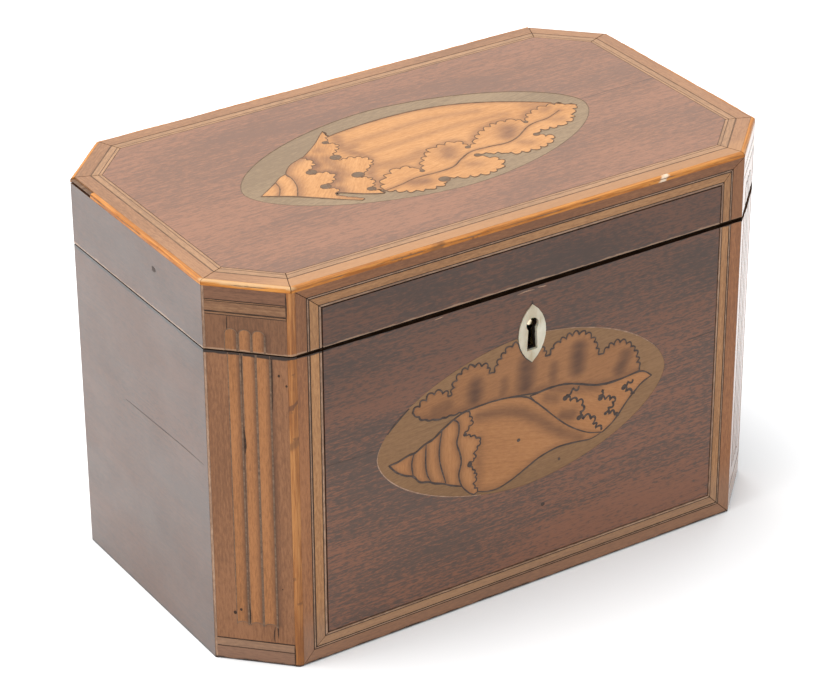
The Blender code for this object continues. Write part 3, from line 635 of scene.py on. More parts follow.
def make_materials():
    """One material for each wood, grain direction and state of wear, some with painted shade and highlights.
    """
    dull = dict(gloss=0.25, coat=0.05)
    bright = dict(gloss=0.5, coat=0.4)
    polished = dict(gloss=0.5, coat=0.75)
    rough = dict(coat=0, rough=(0.55, 0.7))
    side = dict(figure=0.7, **bright, marks=(painted_shade_and_wear(),))
    banded = dict(figure=0.7, pores=0.3)
    plain = dict(figure=0.7, pores=0.2)
    nosed = dict(fleck=0.07, figure=0.8, pores=0.3)
    fluted = dict(scorched=SCORCH, **banded)
    return dict(
        front=wood("mahogany_front", FRONT_MAHOGANY, "X", figure=1.1, **dull,
                   marks=(painted_front_shade, keyhole_shadow, painted_shade_and_wear(0.12))),
        top=wood("mahogany_top", TOP_MAHOGANY, "X", figure=1.1, **bright, marks=(lid_seam,)),
        side=wood("mahogany_side", SIDE_MAHOGANY, "Y", **side),
        lid_side=wood("mahogany_lid_side", SIDE_MAHOGANY, "Y", **side),
        back=wood("mahogany_back", FRONT_MAHOGANY, "X", figure=0.8, rough=(0.4, 0.55), marks=(painted_shade_and_wear(),)),
        post=wood("mahogany_post", SIDE_MAHOGANY, "Z", **bright, marks=(painted_shade_and_wear(joint_shadow=0),)),
        carcase_x=wood("carcase_along_x", CARCASE, "X", **rough, marks=(keyhole_shadow,)),
        carcase_y=wood("carcase_along_y", CARCASE, "Y", **rough),
        carcase_z=wood("carcase_upright", CARCASE, "Z", **rough),
        inner_lid=wood("mahogany_inner_lid", FRONT_MAHOGANY, "X"),
        top_crossbanding=wood("top_crossbanding", TOP_BANDING, **banded, marks=(faded_front,)),
        crossbanding=wood("crossbanding", BANDING, **banded, **dull, marks=(painted_shade_and_wear(0.28, foot_paling=0.3),)),
        corner_crossbanding=wood("corner_crossbanding", CORNER_BANDING, **banded, **dull,
                                 marks=(painted_shade_and_wear(0.2, foot_paling=0.2),)),
        panel=wood("corner_panel", PANEL, figure=0.8, pores=0.35, scorched=SCORCH, **dull,
                   marks=(painted_shade_and_wear(0.32),)),
        right_panel=wood("right_corner_panel", RIGHT_PANEL, figure=0.5, pores=0.25, **polished,
                         marks=(painted_shade_and_wear(),)),
        right_boxwood=wood("right_boxwood", BOXWOOD, **banded, **polished, marks=(painted_shade_and_wear(),)),
        top_boxwood=wood("top_boxwood", TOP_BOXWOOD, **plain),
        boxwood=wood("boxwood", BOXWOOD, **plain, **dull, marks=(painted_shade_and_wear(0.15, foot_paling=0.3),)),
        corner_boxwood=wood("corner_boxwood", CORNER_BOXWOOD, **banded, **dull,
                            marks=(painted_shade_and_wear(0.2, foot_paling=0.25),)),
        holly=wood("holly", HOLLY, pores=0.3, **dull, marks=(painted_shade_and_wear(0.2),)),
        arris=wood("boxwood_arris", ARRIS_WOOD, **nosed, gloss=0.2, coat=0, marks=(crest_highlight_and_nicks,)),
        corner_arris=wood("corner_arris", CORNER_ARRIS, "Z", **nosed, **dull,
                          marks=(crest_highlight_and_nicks, painted_shade_and_wear())),
        top_shell=wood("shell_sycamore_top", TOP_SYCAMORE, pores=0.08, figure=0.5, scorched=TOP_SCORCH),
        front_shell=wood("shell_sycamore_front", FRONT_SYCAMORE, pores=0.08, figure=0.42, scorched=SCORCH,
                         **dull),
        right_flute=wood("right_flute", FLUTE, **fluted, **polished, marks=(painted_shade_and_wear(),)),
        flute=wood("flute_boxwood", FLUTE, **fluted, **dull, marks=(painted_shade_and_wear(0.1),)),
        top_ground=wood("oval_ground_top", TOP_GROUND, pores=0.2, figure=0.8),
        front_ground=wood("oval_ground_front", FRONT_GROUND, pores=0.1, figure=0.5, **dull),
        ebony=dark_wood("ebony_lines", EBONY),
        top_ebony=dark_wood("faded_ebony_lines", FADED_EBONY),
        mastic=dark_wood("pale_mastic", MASTIC),
        ink=dark_wood("dark_mastic", INK_TONES),
        # Matte painted shadow for the joint on the right corner and side.
        rim=dark_wood("painted_rim_shadow", EBONY, gloss=0),
        joint_gap_shadow=dark_wood("painted_joint_gap_shadow", JOINT_SHADOW_TONES, gloss=0),
        bone=bone_material(),
        brass=metal("old_brass", (0.55, 0.38, 0.15), (0.22, 0.14, 0.06)),
        lock_brass=metal("lock_brass", (0.76, 0.65, 0.47), (0.42, 0.33, 0.20), dull_share=0.6),
        steel=metal("lock_steel", (0.38, 0.37, 0.35), (0.17, 0.15, 0.13)),
        foil=metal("lead_foil", (0.27, 0.27, 0.28), (0.13, 0.13, 0.135), rough=(0.4, 0.65), crumple=0.5),
    )


# Borders

# Strips of a border, from the edge inward: wood, and start and end as distances from the face's edge.
FACE_BORDER = [
    ("crossbanding", 1.4, 4.7),
    ("ebony", 4.7, 5.05),
    ("holly", 5.05, 5.4),
    ("ebony", 5.4, 5.8),
    ("boxwood", 5.8, 8.5),
    ("ebony", 8.5, 8.8),
    ("holly", 8.8, 9.4),
]
TOP_STRIPS = [
    ("top_crossbanding", 1.3, 5.3),
    ("top_ebony", 5.3, 5.75),
    ("top_boxwood", 5.75, 7.5),
    ("top_ebony", 7.5, 7.75),
    ("top_boxwood", 7.75, 8.45),
    ("top_ebony", 8.45, 8.65),
]
FOOT_GAP = 0.4  # the border stops this far above the ground
EBONY_SUNK = 0.03


def octagon(inset):
    """The caddy's outline set in by a distance, from the front's left end round by the right."""
    across = HALF_WIDTH - inset
    deep = HALF_DEPTH - inset
    leg = CANT - inset * (2 - sqrt(2))
    right = [(across - leg, -deep), (across, leg - deep), (across, deep - leg), (across - leg, deep)]
    return [(leg - across, -deep), *right, (leg - across, deep), (-across, deep - leg), (-across, leg - deep)]


def right_inset(inset):
    """The front's border is narrower at its right end."""
    return inset * (FRONT_HALF - FIELD_RIGHT) / (FRONT_HALF + FIELD_LEFT)


def front_run(inset, outermost):
    """Down the front's left side, along its foot and up its right side."""
    right = FRONT_HALF - (EDGE if outermost else right_inset(inset))
    foot = FOOT_GAP if outermost else inset * FIELD_FOOT / (FRONT_HALF + FIELD_LEFT)
    return [(inset - FRONT_HALF, RIM_Z), (inset - FRONT_HALF, foot), (right, foot), (right, RIM_Z)]


def lid_front_run(inset, outermost):
    """Up the lid front's left side, along its top and down its right side."""
    right = FRONT_HALF - (EDGE if outermost else right_inset(inset))
    head = TOP_Z - max(ARRIS, inset * (TOP_Z - LID_FIELD_TOP) / (FRONT_HALF + FIELD_LEFT))
    return [(inset - FRONT_HALF, LID_Z), (inset - FRONT_HALF, head), (right, head), (right, LID_Z)]


def lay_strip(shape, outer, inner, wood_name, closed=False, mitre=0.13):
    """Mitred lengths between two runs of corners."""
    count = len(outer) if closed else len(outer) - 1
    for i in range(count):
        j = (i + 1) % len(outer)
        corners = [Vector(outer[i]), Vector(outer[j]), Vector(inner[j]), Vector(inner[i])]
        along = (corners[1] - corners[0]).normalized() * mitre
        corners = [corners[0] + along, corners[1] - along, corners[2] - along, corners[3] + along]
        angle = atan2(along.y, along.x)
        sunk = EBONY_SUNK if "ebony" in wood_name else 0
        shape.plate([tuple(corner) for corner in corners], BED - SKIN, -sunk, angle)


def make_border(name, plane, strips, run, body, node_name, closed=False):
    """All strips of one face's border on their dark bed, one piece for each wood."""
    shapes = {}
    for wood_name, start, end in strips:
        shape = shapes.setdefault(wood_name, Inlay(plane))
        lay_strip(shape, run(start, "crossbanding" in wood_name), run(end, False), wood_name, closed)
    for wood_name, shape in shapes.items():
        slot = "boxwood" if "boxwood" in wood_name else "crossbanding"
        shape.piece(f"{name}_{wood_name}", wood_name, body, slot, node_name)
    bed = Inlay(plane)
    outer, inner = run(0.1, True), run(strips[-1][2], False)
    if closed:
        bed.plate(outer, -SKIN, BED - SKIN, holes=[inner])
    else:
        bed.plate(outer + inner[::-1], -SKIN, BED - SKIN)
    bed.piece(f"{name}_bed", "top_ebony", body, "crossbanding", node_name)


def make_borders():
    def top_run(inset, outermost):
        return octagon(inset)

    make_border("lid_border", TOP, TOP_STRIPS, top_run, "lid", "lid_banding", closed=True)
    make_border("front_border", FRONT, FACE_BORDER, front_run, "case", "front_banding")
    make_border("lid_front_border", FRONT, FACE_BORDER, lid_front_run, "lid", "lid_front_banding")


# Arris stringing

BAR_STEP = 1.2
MITRE_GAP = 0.0015  # share of a length left open at its mitres


def worn(position, amount):
    """Rubbed and nicked surface: how deep it is worn at a place."""
    slow = noise.fractal(position * 0.08, 1, 2, 3)
    quick = noise.noise(position * 0.9)
    nick = max(0, noise.noise(position * 0.35 + Vector((9, 4, 2))) - 0.52) * 2.2
    return amount * (0.5 + 0.7 * slow + 0.35 * quick + nick)


def make_lid_arris():
    """Eight lengths of boxwood round the lid's top edge. One is lost at the back right, another is short."""
    nose = 0.8
    section = [(0, -ARRIS), (0, -nose)]
    section += [(nose * (1 - cos(turn)), nose * (sin(turn) - 1)) for turn in (pi / 8, pi / 4, 3 * pi / 8)]
    section += [(nose, 0), (ARRIS_WIDTH, 0), (ARRIS_WIDTH, -ARRIS)]
    shape = Inlay()
    spans = {side: (0, 1) for side in range(8)}
    del spans[3]
    spans[6] = (0.16, 1)
    for side, (start, end) in spans.items():
        length = (Vector(octagon(0)[side]) - Vector(octagon(0)[(side + 1) % 8])).length
        steps = max(8, round(length / BAR_STEP))
        layers = []
        for step in range(steps + 1):
            share = start + (end - start) * step / steps
            share = min(max(share, MITRE_GAP), 1 - MITRE_GAP)
            layer = []
            for inset, drop in section:
                here = Vector(octagon(inset)[side])
                there = Vector(octagon(inset)[(side + 1) % 8])
                spot = here.lerp(there, share)
                point = Vector((spot.x, spot.y + MIDDLE_Y, TOP_Z + drop))
                if inset < ARRIS_WIDTH and drop > -ARRIS:
                    wear = min(0.5, max(0, worn(point, 0.2)))
                    inward = Vector((-point.x, MIDDLE_Y - point.y, 0)).normalized()
                    point = point + (inward - Vector((0, 0, 1))) * wear * SLANT
                layer.append(point)
            layers.append(layer)
        shape.bar(layers)
    shape.piece("lid_arris", "arris", "lid", "boxwood", "lid_edge_stringing")


def make_corner_arris(name, z_low, z_high, body, node_name):
    """The boxwood stringing up the front's left corner, a bar with a rounded nose."""
    reach = 1.35
    corner = Vector((-FRONT_HALF, FRONT_Y))
    along_front = Vector((1, 0))
    along_cant = Vector((-SLANT, SLANT))
    inward = Vector((sin(pi / 8), cos(pi / 8)))
    section = [corner + along_cant * reach, corner + along_cant * 0.45, corner + inward * 0.06]
    section += [corner + along_front * 0.45, corner + along_front * reach]
    section += [section[-1] + Vector((0, 0.6)), section[0] + Vector((0.45, 0.45))]
    steps = round((z_high - z_low) / BAR_STEP)
    layers = []
    for step in range(steps + 1):
        z = z_low + (z_high - z_low) * step / steps
        layer = []
        for number, point in enumerate(section):
            wear = max(0, worn(Vector((point.x, point.y, z)), 0.14)) if number in (1, 2, 3) else 0
            moved = point + inward * min(wear, 0.35)
            layer.append(Vector((moved.x, moved.y, z)))
        layers.append(layer)
    shape = Inlay()
    shape.bar(layers)
    shape.piece(name, "corner_arris", body, "boxwood", node_name)


# Fluted corners

FLUTED_PIECES = ("panel", "boxwood", "crossbanding", "ebony", "flute", "faded", "string")
LEFT_WOODS = {"boxwood": "corner_boxwood", "crossbanding": "corner_crossbanding", "faded": "top_ebony",
              "string": "holly"}
RIGHT_WOODS = {**LEFT_WOODS, "panel": "right_panel", "crossbanding": "right_panel", "flute": "right_flute",
               "boxwood": "right_boxwood"}
CORNER_FIELD = (0.75, CANT_WIDTH - 1.4)
CORNER_STRING = (0.05, 0.72)
SHADOW_TOP = 2.5 * INK  # the painted shadow in the joints stands this far proud


def upright(left, right, low, high):
    return [(left, low), (right, low), (right, high), (left, high)]


def disc(u, v, half_width, half_height, steps):
    turns = [2 * pi * step / steps for step in range(steps)]
    return [(u + half_width * cos(turn), v + half_height * sin(turn)) for turn in turns]


def flute(left, right, low, high, arched_head, steps=8):
    """Outline of one flute: the lid's have round heads and flat feet, the case's are the other way up."""
    radius = (right - left) / 2
    middle = (left + right) / 2
    turns = [pi * step / steps for step in range(steps + 1)]
    if arched_head:
        head = [(middle + radius * cos(turn), high - radius * 0.95 * (1 - sin(turn))) for turn in turns]
        return [(left, low), (right, low)] + head
    foot = [(middle - radius * cos(turn), low + radius * 0.6 * sin(turn)) for turn in turns]
    return foot + [(right, high), (left, high)]


def mirrored(flip, spans):
    """Spans across a corner, swapped left for right if flip is set."""
    return [(CANT_WIDTH - end, CANT_WIDTH - start) for start, end in spans][::-1] if flip else spans


def make_corner(name, plane, flip, body, node_name, ends, spans, bands, field, head):
    """One canted face: its field, edge strings, level bands and three flutes with shaded right sides."""
    low, high, arched = head
    shapes = {key: Inlay(plane) for key in FLUTED_PIECES}
    left, right = mirrored(flip, [CORNER_FIELD])[0]
    beside = [([(end + 0.3, low + 1), (end + 0.3, high - 1)], 0.8, 0.75) for _, end in mirrored(flip, spans)]
    field = upright(left, right, *field)
    shapes["panel"].plate(field, BED - SKIN, -INLAY, pi / 2, spacing=0.9, shading=beside)
    string = mirrored(flip, [CORNER_STRING])[0]
    shapes["string"].plate(upright(*string, *ends), BED - SKIN, 0, pi / 2)
    if flip:
        shapes["crossbanding"].plate(upright(0.02, left - 0.02, *ends), BED - SKIN, 0, pi / 2)
    for wood_name, band_low, band_high in bands:
        sunk = 0.02 if wood_name == "ebony" else 0
        shapes[wood_name].plate(upright(left, right, band_low, band_high), BED - SKIN, -sunk)
    for start, end in mirrored(flip, spans):
        outline = flute(start, end, low, high, arched)
        side = [(end, low + 1), (end, high - 1)]
        shapes["flute"].plate(outline, -INLAY, 0, pi / 2, spacing=0.7, shading=[(side, 1, 0.8)])
        shapes["faded"].ribbon(outline + outline[:1], 0.12)
        right_side = curve([(end, low), (end, (low + high) / 2), (end, high - 1.5)], 1.5)
        shapes["faded"].ribbon(right_side, 0.24, high=1.5 * INK)
    shapes["ebony"].plate(upright(0, CANT_WIDTH, *ends), -SKIN, BED - SKIN)
    woods = RIGHT_WOODS if flip else LEFT_WOODS
    for key, shape in shapes.items():
        slot = "boxwood" if key in ("boxwood", "string", "flute") else "crossbanding"
        shape.piece(f"{name}_{key}", woods.get(key, key), body, slot, node_name)


def make_corner_wear():
    """Open joints, knots and worm holes on the front left corner, and a dent in the lid's left side."""
    case_marks, lid_marks = Inlay(CORNER_LEFT), Inlay(CORNER_LEFT)
    joint = CANT_WIDTH - 1.45
    lines = [
        (lid_marks, [(joint, 112.6), (joint + 0.05, 117), (joint - 0.05, TOP_Z - ARRIS)], 0.2),
        (lid_marks, [(7, 108.4), (6.9, 110.6), (7.1, 112.9)], 0.16),
        (case_marks, [(joint, 0.3), (joint + 0.05, 4), (joint, 7.8)], 0.2),
        (case_marks, [(10.9, 69.5), (11.1, 72.5), (10.8, 76), (10.9, 78.5)], 0.36),
        (case_marks, [(10.7, 13), (10.8, 16), (10.6, 20)], 0.3),
        (case_marks, [(19, 9), (18.8, 24), (18.9, 36)], 0.26),
        (case_marks, [(19, 84), (19.2, 94), (19.3, RIM_Z - 0.5)], 0.26),
        (case_marks, [(10.6, 90), (10.7, 96), (10.8, RIM_Z - 0.5)], 0.16),
        (case_marks, [(17.9, 7.6), (17.8, 10), (18.1, 13)], 0.14),
    ]
    for shape, points, half in lines:
        shape.ribbon(curve(points, step=0.7), half, high=1.3 * INK, taper=0.8)
    holes = ((21.2, 95.6, 0.34), (23.3, 92.6, 0.3), (6.4, 16.4, 0.5), (8.2, 17.6, 0.4), (20.6, 26, 0.2))
    for u, v, radius in holes:
        case_marks.plate(disc(u, v, radius, 1.2 * radius, 10), high=1.2 * INK)
    dent = Inlay(LEFT)
    turns = [2 * pi * step / 12 for step in range(12)]
    dent.plate([(13 + 1.1 * cos(t) + 0.4 * cos(2 * t), 114.6 + (0.8 + 0.3 * cos(t)) * sin(t)) for t in turns])
    dent.piece("lid_side_dent", "ink", "lid", "mahogany")
    case_marks.piece("corner_left_marks", "ebony", "case", "crossbanding", "fluted_corner_left")
    lid_marks.piece("lid_corner_left_marks", "ebony", "lid", "crossbanding", "lid_fluted_corner_left")


def make_corners():
    foot = box("fluted_corner_left")[0].z
    lid_top = box("lid_fluted_corner_left")[1].z
    case_spans = [(6.9, 10.4), (11, 14.7), (15, 18.8)]
    lid_spans = [(6.2, 9.7), (10.2, 13.6), (14, 17.5)]
    case_bands = [
        ("crossbanding", foot + 0.2, 4.4),
        ("ebony", 4.4, 4.7),
        ("boxwood", 4.7, 7.1),
        ("ebony", 7.1, 7.5),
    ]
    lid_bands = [
        ("ebony", 112.9, 113.15),
        ("boxwood", 113.15, 113.6),
        ("ebony", 113.6, 114.1),
        ("boxwood", 114.1, 116.9),
        ("ebony", 116.9, 117.15),
        ("boxwood", 117.15, 117.4),
        ("ebony", 117.4, 117.7),
        ("crossbanding", 117.7, lid_top),
    ]
    for side, plane, flip in (("left", CORNER_LEFT, False), ("right", CORNER_RIGHT, True)):
        name = f"corner_{side}"
        node_name = f"fluted_corner_{side}"
        make_corner(name, plane, flip, "case", node_name, (foot, RIM_Z),
                    case_spans, case_bands, (7.5, RIM_Z), (12.6, RIM_Z - 0.1, False))
        make_corner(f"lid_{name}", plane, flip, "lid", f"lid_{node_name}", (LID_Z, lid_top),
                    lid_spans, lid_bands, (LID_Z, 112.9), (LID_Z + 0.15, 109, True))
    # A painted shadow: a dark wedge below the rim along the right corner's joint.
    rim = Inlay(CORNER_RIGHT)
    rim.plate(below_rim((0.1, 1.2), (0.5 * CANT_WIDTH, 2.8), (CANT_WIDTH - 0.1, 2.6)), high=SHADOW_TOP)
    rim.piece("corner_right_rim_shadow", "rim", "case", "crossbanding", "fluted_corner_right")
    make_corner_wear()


# Cracks, chips and painted joint shadows on the case

def below_rim(*drops):
    """A band along the case's rim. Each drop is a place and how far below the rim the band reaches there."""
    ends = [(drops[-1][0], 0.02), (drops[0][0], 0.02)]
    return [(u, RIM_Z - drop) for u, drop in [*drops, *ends]]


def mark_case(name, plane, material_name, lines=(), half=0, taper=0, band=None):
    """Thin lines, or a band of painted shadow, that stand a hair proud of a face."""
    shape = Inlay(plane)
    for points in lines:
        shape.ribbon(curve(points), half, taper=taper)
    if band:
        shape.plate(band, high=SHADOW_TOP)
    shape.piece(name, material_name, "case", "mahogany")


def make_cracks():
    """Shrinkage cracks in the case's front and left side, and a painted shadow along the joint below the rim,
    which widens to the right.
    """
    front_cracks = ([(-67.4, 64.1), (-60, 63.7), (-51.3, 63.8)], [(57, 66.1), (63, 66.3), (68.7, 66.5)])
    mark_case("case_front_cracks", FRONT, "ink", front_cracks, 0.17, 0.7)
    side_crack = [(-8, 62.9), (8, 63.3), (24, 63.7), (HALF_DEPTH - CANT - 0.3, 63.6)]
    mark_case("case_side_crack", LEFT, "ink", [side_crack], 0.14, 0.6)
    # Painted shadow below the rim along the front, deeper towards the right.
    front_rim = below_rim((-FRONT_HALF + 1.4, 0.35), (-60, 0.7), (-28, 1.1), (20, 1.1), (60, 0.9),
                          (FRONT_HALF - EDGE, 0.8))
    mark_case("case_front_rim_shadow", FRONT, "joint_gap_shadow", band=front_rim)
    # Painted shadow below the rim on the right side, thinning towards the back.
    mark_case("case_right_rim_shadow", RIGHT, "rim", band=below_rim((0.1, 2.5), (8, 1.4), (24, 0.3)))


# Shell marquetry

class Marquetry:
    """A shell oval: a ground, light pieces with sand shading, and mastic lines round and across them."""

    def __init__(self, plane, centre_v, hole=None):
        self.centre_v = centre_v
        self.hole = hole
        self.light = Inlay(plane)
        self.ink = Inlay(plane)
        self.pits = Inlay(plane)
        self.ground = Inlay(plane)
        self.level = INK

    def lifted(self, path):
        return [(u, v + self.centre_v) for u, v in path]

    def next_level(self):
        """Lines that cross lie a little above each other, so that no two share a plane."""
        self.level += 0.001
        return self.level

    def part(self, outline, angle, shading, line=0.16, base=0.0, halo=0):
        """One piece of light wood with a mastic line round it. base darkens all of it, halo its edge."""
        lifted = [(self.lifted(path), reach, strength) for path, reach, strength in shading]
        outline = self.lifted(outline)
        if self.hole:
            outline = without(outline, self.hole)
        if halo:
            lifted.append((outline, 0.8, halo))
        self.light.plate(outline, -INLAY, 0, angle, spacing=0.9, shading=lifted, base=base)
        self.ink.ribbon(outline + outline[:1], line, high=self.next_level())

    def line(self, points, half=0.22, taper=0.5):
        self.ink.ribbon(self.lifted(curve(points, step=0.4)), half, high=self.next_level(), taper=taper)

    def cut_pits(self, pits):
        """The round holes of fret cuts, filled with mastic. Each has a centre and a radius."""
        for u, v, radius in pits:
            outline = self.lifted(disc(u, v, radius, radius * 0.9, 14))
            self.pits.plate(outline, high=self.next_level())
            self.ink.ribbon(outline + outline[:1], 0.16, high=self.next_level())

    def pieces(self, name, woods, body, node_name):
        """Finishes the light wood, the lines and the pits."""
        shapes = (self.light, self.ink, self.pits)
        for key, shape, wood_name in zip(("light", "lines", "pits"), shapes, woods):
            shape.piece(f"{name}_{key}", wood_name, body, "marquetry", node_name)


def front_shell():
    """A whelk lying on its side: spire on the left, body whorl in the middle, a scalloped lip over it."""
    hole = escutcheon_outline(0.05)
    shell = Marquetry(FRONT, FRONT_OVAL_Z, hole)
    lip_lobes = [
        ([(-38.5, 11.8), (-36, 13.6), (-31.5, 16), (-27.5, 15), (-26.3, 13.4)], 5),
        ([(-25.3, 13.4), (-24.3, 17), (-21.5, 20), (-17.5, 20.6), (-13.2, 19.4), (-12.4, 16.6)], 8),
        ([(-10.5, 16.4), (-9.3, 19.3), (-5.5, 22.8), (-1, 23.6), (4, 21.8), (6.8, 18.3), (7.3, 16.2)], 11),
        ([(8.8, 16.2), (10.3, 18.6), (15.5, 20.5), (20.5, 20), (24.1, 17), (25.4, 13.5), (26.2, 11)], 10),
        ([(27.8, 10.8), (29.5, 12.4), (33.5, 13.2), (37.6, 10.9), (39.8, 7.5), (40.8, 3.8), (41.2, 1.8)], 9),
    ]
    lip_foot = curve([(41.2, 1), (34, 0.35), (26, 1), (18, 3.8), (10, 5.3), (4, 5.1), (-4, 6.3),
                      (-12, 7), (-20, 6.8)])
    lip_end = frill([(-20, 6.8), (-25, 6.9), (-30, 7.2), (-35, 8.6), (-38.5, 11.8)], 7, 0.5)
    lip = chain(frills(lip_lobes, 1.35), lip_foot, lip_end)
    spots = [
        ([(-31, 9.6), (-26.5, 10.4)], 3, 0.7),
        ([(-17.2, 10), (-17, 14)], 3.9, 0.9),
        ([(-7.5, 8), (-7, 12.5)], 2.5, 0.65),
        ([(0.2, 8), (0.8, 16)], 4.4, 0.92),
        ([(10, 7.5), (10.2, 12)], 2.8, 0.7),
        ([(18.6, 9), (19, 15)], 4.1, 0.92),
        ([(34, 3.5), (36, 7.5)], 3.7, 0.85),
        ([(-35, 8.6), (-20, 7.2), (-4, 6.4), (10, 5.3), (26, 1.2), (40, 1)], 2.3, 0.6),
    ]
    shell.part(lip, angle=0.1, shading=spots, line=0.25, base=0.31, halo=0.6)
    shell.line(lip_end[::3], 0.34)

    collar_left = [(-24.6, 5.2), (-22.9, 3.6), (-22.7, 0.5), (-23.4, -3), (-22.3, -6.8), (-21.9, -10),
                   (-22.7, -14), (-21.6, -18), (-19, -21.2)]
    collar_lobes = [
        ([(-20, 6.6), (-19, 5), (-18.3, 2.2), (-20.7, -0.3)], 4),
        ([(-20.3, -1.4), (-18, -2.4), (-15.3, -4.6), (-17.2, -7.8), (-17.2, -10), (-19.3, -10.8)], 7),
        ([(-19.2, -12), (-17.6, -13.8), (-16.8, -16.5), (-17.5, -19), (-16, -21.6)], 6),
    ]
    collar_right = frills(collar_lobes, 0.8)
    spire_top = [(-46.5, -2.9), (-43.5, -2.7), (-40, -1.7), (-37.5, -1.5), (-34.5, 0.1), (-31.5, 1),
                 (-28.5, 3), (-24.6, 5.2)]
    spire_foot = [(-21.6, -18), (-25.5, -16.4), (-28, -15), (-31, -13.9), (-33, -12.7), (-36, -11.8),
                  (-38.3, -9.2), (-41, -8), (-44, -5.9), (-46.5, -2.9)]
    spire = chain(curve(spire_top), curve(collar_left[:-1]), curve(spire_foot))
    whorls = [
        [(-38, -1.6), (-38.8, -5), (-38.3, -9.2)],
        [(-33.9, 0.1), (-34.1, -6), (-33.6, -10), (-32.3, -12.8)],
        [(-28.5, 2.9), (-29.4, -3), (-29.1, -8), (-27.2, -15)],
    ]
    shades = [(line, 1.4, 0.6) for line in whorls + [collar_left[:-1]]]
    shell.part(spire, angle=pi / 2, shading=shades, halo=0.45)
    for line in whorls:
        shell.line(line, 0.26)
    shell.line(spire_top, 0.34, taper=0.3)
    shell.line(spire_foot, 0.34, taper=0.3)
    collar = chain(curve(collar_left)[::-1], [(-22, 6.2)], collar_right, [(-17.5, -22.2)])
    shell.part(collar, angle=pi / 2, shading=[(collar_left, 1.6, 0.5)], line=0.24, halo=0.4)
    shell.line(collar_left, 0.27)

    back_edge = [(-20, 6.6), (-14, 6.9), (-8, 6.8), (-3, 5.9), (1, 4.5), (4, 2), (7, -1), (11, -5.2),
                 (15, -9), (19, -12), (23.5, -14.5), (28, -15.8)]
    belly = [(28, -15.8), (24, -16.8), (18, -16.1), (12, -15.8), (6, -17), (1, -19.2), (-4, -21.5),
             (-9, -22.9), (-13, -22.6), (-16, -21.6)]
    body = chain(curve(back_edge), curve(belly), collar_right[::-1])
    shoulder = [(-16, 3.6), (-8, 2.6), (-2, 0.6), (4, -3.4), (10, -8.5), (15, -12.5), (20, -15.2)]
    shades = [(shoulder, 2.3, 0.62), (belly, 1.6, 0.4), ([(-15.5, -4), (-16, -20)], 1.8, 0.35)]
    shell.part(body, angle=-0.25, shading=shades, halo=0.3)
    shell.line(back_edge, 0.24, taper=0.3)
    shell.line(belly, 0.28)

    lip_edge = [(2, 4.6), (10, 5.1), (15, 4.7), (20, 2.9), (25, 1.1), (30, 0.15), (35, 0.3), (40, 0.7),
                (43, 0.2), (45.8, -2)]
    mouth_foot = [(45.8, -2), (42.5, -3.3), (40, -5.2), (37, -8), (34, -11.5), (31.5, -13.9), (28.3, -15.8)]
    mouth = chain(curve(lip_edge), curve(mouth_foot), curve(back_edge[5:])[::-1])
    shades = [
        ([(8, 2.2), (11, 1)], 2.5, 0.6),
        ([(10, 4.6), (26, 0.4)], 2.2, 0.6),
        ([(13.5, -5.6), (17, -6.4)], 2.5, 0.7),
        (back_edge[4:], 1.2, 0.3),
    ]
    shell.part(mouth, angle=-0.4, shading=shades, halo=0.3)
    shell.line(lip_edge, 0.3, taper=0.3)
    shell.line(mouth_foot, 0.28, taper=0.3)
    cuts = [
        ([(19.5, 2.3), (16.6, 1.7), (14.5, 0)], 2),
        ([(14.5, 0), (17.6, -1.5), (20.6, -3.4), (20.8, -5.8), (19.3, -8)], 4),
        ([(19.3, -8), (24.5, -9.6), (25, -12), (28, -15)], 4),
        ([(28.2, -1.4), (27.4, -2.8), (27, -4)], 1),
        ([(27, -4), (31.4, -5.3), (32, -7), (29.2, -9.6)], 4),
        ([(29.2, -9.6), (31.5, -10.4), (33.5, -11.3)], 2),
        ([(39, -1.3), (36.6, -2), (35.3, -3)], 2),
        ([(35.3, -3), (37.6, -4.8), (39.3, -6.3)], 2),
    ]
    for points, teeth in cuts:
        shell.ink.ribbon(shell.lifted(frill(points, 1.2 * teeth, 1.4)), 0.36, high=shell.next_level())
    pits = ((14.5, 0, 0.75), (19.6, -8.2, 0.75), (27.2, -4, 0.8), (35.6, -3.1, 0.7), (29.2, -9.8, 0.45),
            (-20.6, -1, 0.5), (-19, -11.6, 0.7), (33.6, -11.6, 0.6), (-1.9, -8.9, 0.45), (12.7, -20, 0.26),
            (7.1, -33.7, 0.5))
    shell.cut_pits(pits)
    outline = oval(FRONT_OVAL.x - 0.1, FRONT_OVAL.z - 0.1)
    shell.line(outline[64:72], 0.26)
    shell.pieces("front_shell", ("front_shell", "ink", "ink"), "case", "front_patera")
    glue = Inlay(FRONT)
    for path in (outline[8:38], outline[74:112]):
        glue.ribbon(shell.lifted(path), 0.16, taper=0.6)
    glue.piece("front_oval_glue", "holly", "case", "marquetry", "front_patera")
    chips = ([(-31, 99.7), (-28, 99.9)], [(-3, 99.4), (0, 99.7), (3, 99.5)], [(4.2, 99.8), (7, 99.6)])
    mark_case("front_rim_chips", FRONT, "holly", chips, 0.13, 0.7)
    ground = oval(FRONT_OVAL.x, FRONT_OVAL.z, FRONT_OVAL_Z, steps=400)
    shell.ground.plate(without(ground, hole), -SKIN, -INLAY, 0.05)
    shell.ground.piece("front_oval_ground", "front_ground", "case", "marquetry", "front_patera")


def escutcheon_outline(grow, steps=12):
    """The escutcheon's pointed outline, anticlockwise from its foot."""
    low, high = box("escutcheon")
    middle_x, middle_z = (low.x + high.x) / 2, (low.z + high.z) / 2
    half_width, half_height = (high.x - low.x) / 2 + grow, (high.z - low.z) / 2 + grow
    radius = (half_width ** 2 + half_height ** 2) / (2 * half_width)
    points = []
    for side in (1, -1):
        for step in range(steps):
            height = side * half_height * (2 * step / steps - 1)
            reach = sqrt(radius ** 2 - height ** 2) - radius + half_width
            points.append((middle_x + side * reach, middle_z + height))
    return points


